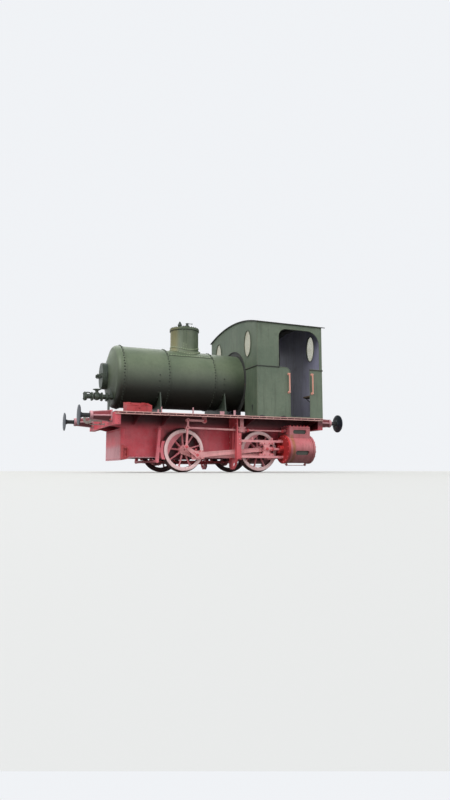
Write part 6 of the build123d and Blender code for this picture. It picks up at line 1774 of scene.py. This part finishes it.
# Frame
@dataclass
class Frame:
    """Rivets, bolts, edge strips and grips of the frame and the running board."""

    plate_y: float = 0.64  # outer face of the side frames
    bottom: float = 0.28  # lower edge of the side frames
    front: float = 1.94  # face of the front plate
    beam: float = 2.18  # face of the beams
    beam_z: Pair = (0.867, 1.093)  # lower and upper edge of the beams
    deck_y: float = 1.22  # outer face of the deck's edge
    deck_foot: float = 1.057  # lower edge of the deck's side strip
    rivet: Pair = (0.0105, 0.008)  # radius and height of the frame's rivets

    def build(self) -> None:
        """Builds the frame's trim."""
        self._plates()
        self._beams()
        self._edges()
        self._horns()
        self._brakes()
        self._grips()
        self._deck()

    def _plates(self) -> None:
        """Rivet rows, corner angles and the axlebox guides of the side frames."""
        kit, y, front = Shaper(), self.plate_y, self.front
        rows = spaced(-1.94, -1.14, 0.072) + spaced(-0.66, 0.5, 0.072) + spaced(0.96, 1.66, 0.072)
        spots = grid(rows, y, self.bottom + 0.03) + grid(spaced(-2.1, self.beam - 0.1, 0.08), y, 1.06)
        spots += grid((1.25, 0.25, -0.42, -1.342, -1.958), y, spaced(self.bottom + 0.09, 0.99, 0.078))
        corner = spaced(0.27, 0.8, 0.066)
        kit.rivets(spots + grid(front - 0.046, y, corner), LEFT, *self.rivet)
        kit.rivets(grid(front, y - 0.044, corner), FRONT, *self.rivet)
        kit.box((front - 0.078, y, 0.245), (front - 0.012, y + 0.009, 0.826), 0.003)
        for x in AXLES.values():
            kit.nuts(grid((x - 0.132, x + 0.132), y, spaced(0.3, 0.59, 0.058)), LEFT, 0.012, 0.009)
            for guide in (x - 0.155, x + 0.155):
                kit.box((guide - 0.03, y, 0.284), (guide + 0.03, y + 0.008, 0.61), 0.003)
        kit.mirrored(Axis.Y)
        kit.rivets(grid(front, spaced(-0.56, 0.56, 0.08), (0.264, 0.806)), FRONT, *self.rivet)
        kit.finish("frame_rivets", "frame_red", "frame_red")

    def _beams(self) -> None:
        """Rivets of the buffer beams and the bolts of the hooks' plates."""
        kit, x, (low, high), size = Shaper(), self.beam, self.beam_z, (0.0115, 0.009)
        row = [y for y in spaced(-1.13, 1.13, 0.094) if 0.1 < y < 0.7 or y > 1.04]
        kit.rivets(grid(x, row, (low + 0.024, high - 0.024)), FRONT, *size)
        kit.rivets(grid(x, (0.6, 0.655), spaced(low + 0.05, high - 0.05, 0.06)), FRONT, *size)
        kit.nuts(grid(x + 0.014, 0.047, (0.966, 1.08)), FRONT, 0.015, 0.012, 0.008)
        kit.rivets(grid(x - 0.065, 1.2, spaced(low + 0.04, high - 0.04, 0.072)), LEFT, *self.rivet)
        kit.mirrored(Axis.Y)
        kit.mirrored(Axis.X)
        kit.finish("beam_rivets", "frame_red", "frame_red")

    def _edges(self) -> None:
        """Two worn strips along each edge of the deck, and the rivets between them."""
        kit, end, y = Shaper(), self.beam - 0.001, self.deck_y - 0.004
        for z in (FLOOR_Z - 0.004, self.deck_foot + 0.004):
            kit.rod((-end, y, z), (end, y, z), 0.0078, sides=8)
        places = spaced(-self.beam + 0.05, self.beam - 0.05, 0.155)
        kit.rivets(grid(places, self.deck_y, 1.08), LEFT, 0.0085, 0.006)
        kit.finish("deck_edge_strips", "deck_edge_pink", "deck_red", both=True)

    def _horns(self) -> None:
        """Bolts of the horn stays, the axleboxes' keeps and the front lifting plates."""
        kit = Shaper()
        for x in AXLES.values():
            kit.nuts(grid([x + dx for dx in (-0.165, -0.135, 0.135, 0.165)], 0.6275, 0.246), DOWN, 0.012,
                0.012, 0.01)
            kit.nuts(grid((x - 0.075, x + 0.075), 0.6, 0.308), DOWN, 0.012, 0.01, 0.01)
            kit.nuts(grid((x - 0.088, x + 0.088), 0.654, (AXLE_Z - 0.09, AXLE_Z + 0.09)), LEFT, 0.011, 0.007)
        kit.nuts(grid(1.86, 0.686, (0.3, 0.385, 0.47)), LEFT, 0.016, 0.013, 0.008)
        kit.finish("horn_bolts", "motion_red", "frame_red", both=True)

    def _brakes(self) -> None:
        """Pins of the brake hangers, and the pull rods with their forks and turnbuckles."""
        kit, pin_z, y, z = Shaper(), 0.826, 0.3, 0.212
        for axle in AXLES.values():
            x = axle + 0.492
            kit.rod((x, 0.722, pin_z), (x, 0.8, pin_z), 0.02, sides=16, bevel=0.002)
            kit.nut((x, 0.796, pin_z), LEFT, 0.026, 0.014, stud=0.008)
        kit.rod((1.19, y, z), (-0.43, y, z), 0.013, sides=12)
        kit.rod((0.45, y, z), (0.3, y, z), 0.022, sides=6)
        for x in (1.205, -0.415):
            kit.box((x - 0.06, y - 0.022, z - 0.03), (x + 0.04, y + 0.022, z + 0.03), 0.006)
            kit.rod((x, y - 0.038, z), (x, y + 0.038, z), 0.012, sides=12)
        kit.finish("brake_pins", "motion_red", "motion_red", both=True)

    def _grips(self) -> None:
        """Bent rod at the front hook, and the hooks' pins."""
        kit, x = Shaper(), self.beam
        for pin in (x + 0.19, -x - 0.19):
            kit.rod((pin, -0.036, 1.022), (pin, 0.036, 1.022), 0.016, sides=16, bevel=0.002)
        bend = [(x - 0.004, 0.3, 0.925), (2.3, 0.318, 0.915), (2.42, 0.352, 0.905), (2.478, 0.376, 0.915),
            (2.508, 0.398, 0.945), (2.53, 0.42, 1.01), (2.546, 0.44, 1.062)]
        kit.tube(bend, 0.0085, sides=10)
        kit.rod((x - 0.001, 0.3, 0.925), (x + 0.01, 0.3, 0.925), 0.026, sides=18, bevel=0.002)
        kit.ball((2.548, 0.442, 1.068), 0.015)
        kit.finish("hook_pins", "hook_grey", "hook_grey")

    def _deck(self) -> None:
        """Lap strips of the deck's plates, their rivets and the saddles' foot bolts."""
        kit, half = Shaper(), self.deck_y - 0.012
        for x in (1.62, 0.42, -0.6):
            kit.box((x - 0.03, -half, FLOOR_Z), (x + 0.03, half, FLOOR_Z + 0.005), 0.0015)
            spots = grid((x - 0.017, x + 0.017), spaced(-1.18, 1.18, 0.098), FLOOR_Z + 0.005)
            kit.rivets(spots, UP, 0.008, 0.004)
        feet = [x + dx for x, dx in product((1.132, -0.252), (-0.062, 0.062))]
        across = (0.565, 0.47, 0.375, -0.375, -0.47, -0.565)
        kit.nuts(grid(feet, across, FLOOR_Z + 0.018), UP, 0.017, 0.014, 0.01)
        kit.finish("deck_plates_trim", "deck_red", "deck_red")


# Fittings
@dataclass
class Fittings:
    """Charging pipe's bolts, wheel and cover, the toolbox's lid and the windows' panes."""

    pipe: Pair = (0.25, 1.462)  # place of the charging pipe, across and up
    valve_x: float = 2.33  # place of its valve
    end_x: float = 2.56  # its open end

    def build(self) -> None:
        """Builds the fittings."""
        self._pipe()
        self._cap()
        self._toolbox()
        self._panes()

    def _pipe(self) -> None:
        """Flange nuts, the valve's bonnet, its hand wheel and lagging bands."""
        kit, x, (y, z) = Shaper(), self.valve_x, self.pipe
        for flange, out in ((self.end_x - 0.024, REAR), (x + 0.084, REAR), (x - 0.084, FRONT), (2.134, REAR)):
            kit.nuts(around(Axis.X, (flange, y, z), 8, 0.067, 22.5), out, 0.0125, 0.011, 0.009)
        hub = Vector((x, y, z + 0.134))
        rise = Vector((0, 0, 0.006))
        kit.tube(around(Axis.Z, hub + rise, 28, 0.072), 0.0075, sides=8, looped=True)
        for spot in around(Axis.Z, hub + rise, 5, 0.071):
            kit.rod(hub, spot, 0.0055, sides=8)
        kit.rod((x, y, z + 0.114), (x, y, z + 0.152), 0.014, sides=14, bevel=0.002)
        bonnet = [(0.048, 0.06), (0.06, 0.06), (0.064, 0.048), (0.078, 0.046), (0.086, 0.034), (0.104, 0.03),
            (0.106, 0)]
        kit.lathe(bonnet, (x, y, z), Axis.Z, steps=28)
        kit.nuts(around(Axis.Z, (x, y, z + 0.062), 6, 0.05), UP, 0.009, 0.008)
        for band in (1.52, 1.62):
            kit.rod((2.026, y, band), (2.026, y, band + 0.012), 0.0515, sides=28)
        kit.nuts(grid(2.108, (y - 0.04, y + 0.04), 1.15), FRONT, 0.012, 0.01)
        kit.finish("charging_pipe_bolts", "fitting_green", "fitting_green")

    def _cap(self) -> None:
        """Bolted blank cover and its bar on the pipe's mouth."""
        kit, x, (y, z) = Shaper(), self.end_x, self.pipe
        cap = [(0, 0), (0, 0.086), (0.004, 0.088), (0.012, 0.088), (0.016, 0.084), (0.018, 0.045), (0.02, 0)]
        kit.lathe(cap, (x + 0.0005, y, z), Axis.X, steps=40)
        kit.box((x + 0.016, y - 0.012, z - 0.07), (x + 0.03, y + 0.012, z + 0.07), 0.003)
        kit.nuts(around(Axis.X, (x + 0.014, y, z), 4, 0.068, 45.0), FRONT, 0.0125, 0.01, 0.006)
        kit.finish("charging_pipe_cover", "fitting_green", "fitting_green")

    def _toolbox(self) -> None:
        """Lid with its hinges and hasp, and the rivets of the box's foot."""
        kit, wide, drop = Shaper(), 0.26, 0.07
        middle = Vector((1.72, 1.03, 1.263))
        turn = Matrix.Rotation(-math.atan2(drop, wide), 4, "X")
        half = Vector((0.244, math.hypot(wide, drop) / 2 + 0.008, 0.003))
        kit.box(middle - half, middle + half, 0.002, turn)
        for x in (1.58, 1.86):
            kit.box((x - 0.016, 1, 1.268), (x + 0.016, 1.15, 1.274), 0.0015, turn)
            kit.rod((x - 0.03, 0.898, 1.301), (x + 0.03, 0.898, 1.301), 0.008, sides=12)
        kit.box((1.7, 1.16, 1.17), (1.74, 1.167, 1.232), 0.002)
        hasp = [(1.708, 1.168, 1.19), (1.708, 1.184, 1.186), (1.72, 1.19, 1.184), (1.732, 1.184, 1.186),
            (1.732, 1.168, 1.19)]
        kit.tube(hasp, 0.004, sides=8)
        kit.rivets(grid(spaced(1.5, 1.94, 0.055), 1.16, 1.122), LEFT, 0.008, 0.005)
        for x, out in ((1.48, REAR), (1.96, FRONT)):
            kit.rivets(grid(x, (0.93, 1.13), (1.14, 1.19)), out, 0.008, 0.005)
        kit.finish("toolbox_lid", "toolbox_red", "frame_red")

    def _panes(self) -> None:
        """Slightly crowned panes in the oval windows."""
        pane = [(-0.003, 0), (-0.0026, 0.5), (-0.0018, 1), (0.0018, 1), (0.0026, 0.5), (0.003, 0)]
        size = Matrix.Diagonal((1, 0.146, 0.265, 1))
        for name, wall, coat in (("front", -0.668, "pane_cream"), ("rear", -2.172, "pane_clear")):
            kit = Shaper()
            with kit.moved(Matrix.Translation((wall, 0.775, 2.655)) @ size):
                kit.lathe(pane, (0, 0, 0), Axis.X)
            kit.mirrored(Axis.Y)
            kit.finish(f"panes_{name}", coat, "glass", "window_panes", angle=60.0)


# The whole locomotive
def on_both_sides(*stems: str) -> list[str]:
    """Names of nodes that are there on the left and on the right."""
    return [f"{stem}_{side.word}" for stem in stems for side in Side]


NODE_COATS: dict[str, Sequence[str]] = {
    "frame_red": ("frame_plates", "frame_stretchers", "horn_stays", "front_buffer_beam", "rear_buffer_beam",
        "deck_brackets"),
    "toolbox_red": ("toolbox", "guard_brackets"),
    "case_pink": ("board_lugs",),
    "axlebox_dark": ("axleboxes", "springs"),
    "deck_red": ("deck",),
    "fitting_green": ("manhole", "filling_pipe", "vessel_saddles", "cab_controls"),
    "hook_grey": ("draw_hooks",),
    "roof_black": ("cab_roof",),
    "cylinder_red": on_both_sides("cylinder"),
    "motion_pink": on_both_sides("coupling_rod", "main_rod", "eccentric_rod", "return_crank", "valve_motion",
        "crosshead", "slide_bars", "valve_hangers"),
    "motion_red": on_both_sides("motion_plate"),
    "gear_pink": ("brake_gear",),
    "axle_maroon": ("front_axle", "rear_axle"),
    "cab_green": ("cab_front_wall", "cab_rear_wall", *on_both_sides("cab_side")),
}


def dress_solids(nodes: dict[str, bpy.types.Object]) -> None:
    """Gives each solid that shows as it is its material.

    Args:
        nodes: The frame's nodes by name.
    """
    for coat, names in NODE_COATS.items():
        for name in names:
            data = nodes[name].data
            data.materials.clear()
            data.materials.append(COATS[coat])
        LOG.info("%s on %s", coat, ", ".join(names))


def main() -> None:
    """Builds the dressed locomotive around the frame."""
    logging.basicConfig(level=logging.INFO, format="%(name)s: %(message)s")
    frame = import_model()
    bpy.context.scene.view_settings.view_transform = "Standard"
    Effects().build()
    for finish in FINISHES:
        finish.make()
    Studio().build()
    dress_solids(frame["nodes"])
    wheels = [Wheel(place, side) for side in Side for place in AXLES]
    sides = (Cylinder(Side.LEFT), LEFT_MOTION, Cylinder(Side.RIGHT), RIGHT_MOTION)
    for part in (Vessel(), Dome(), *wheels, Buffers(), Cab(), *sides, Frame(), Fittings()):
        part.build()


if __name__ == "__main__":
    main()
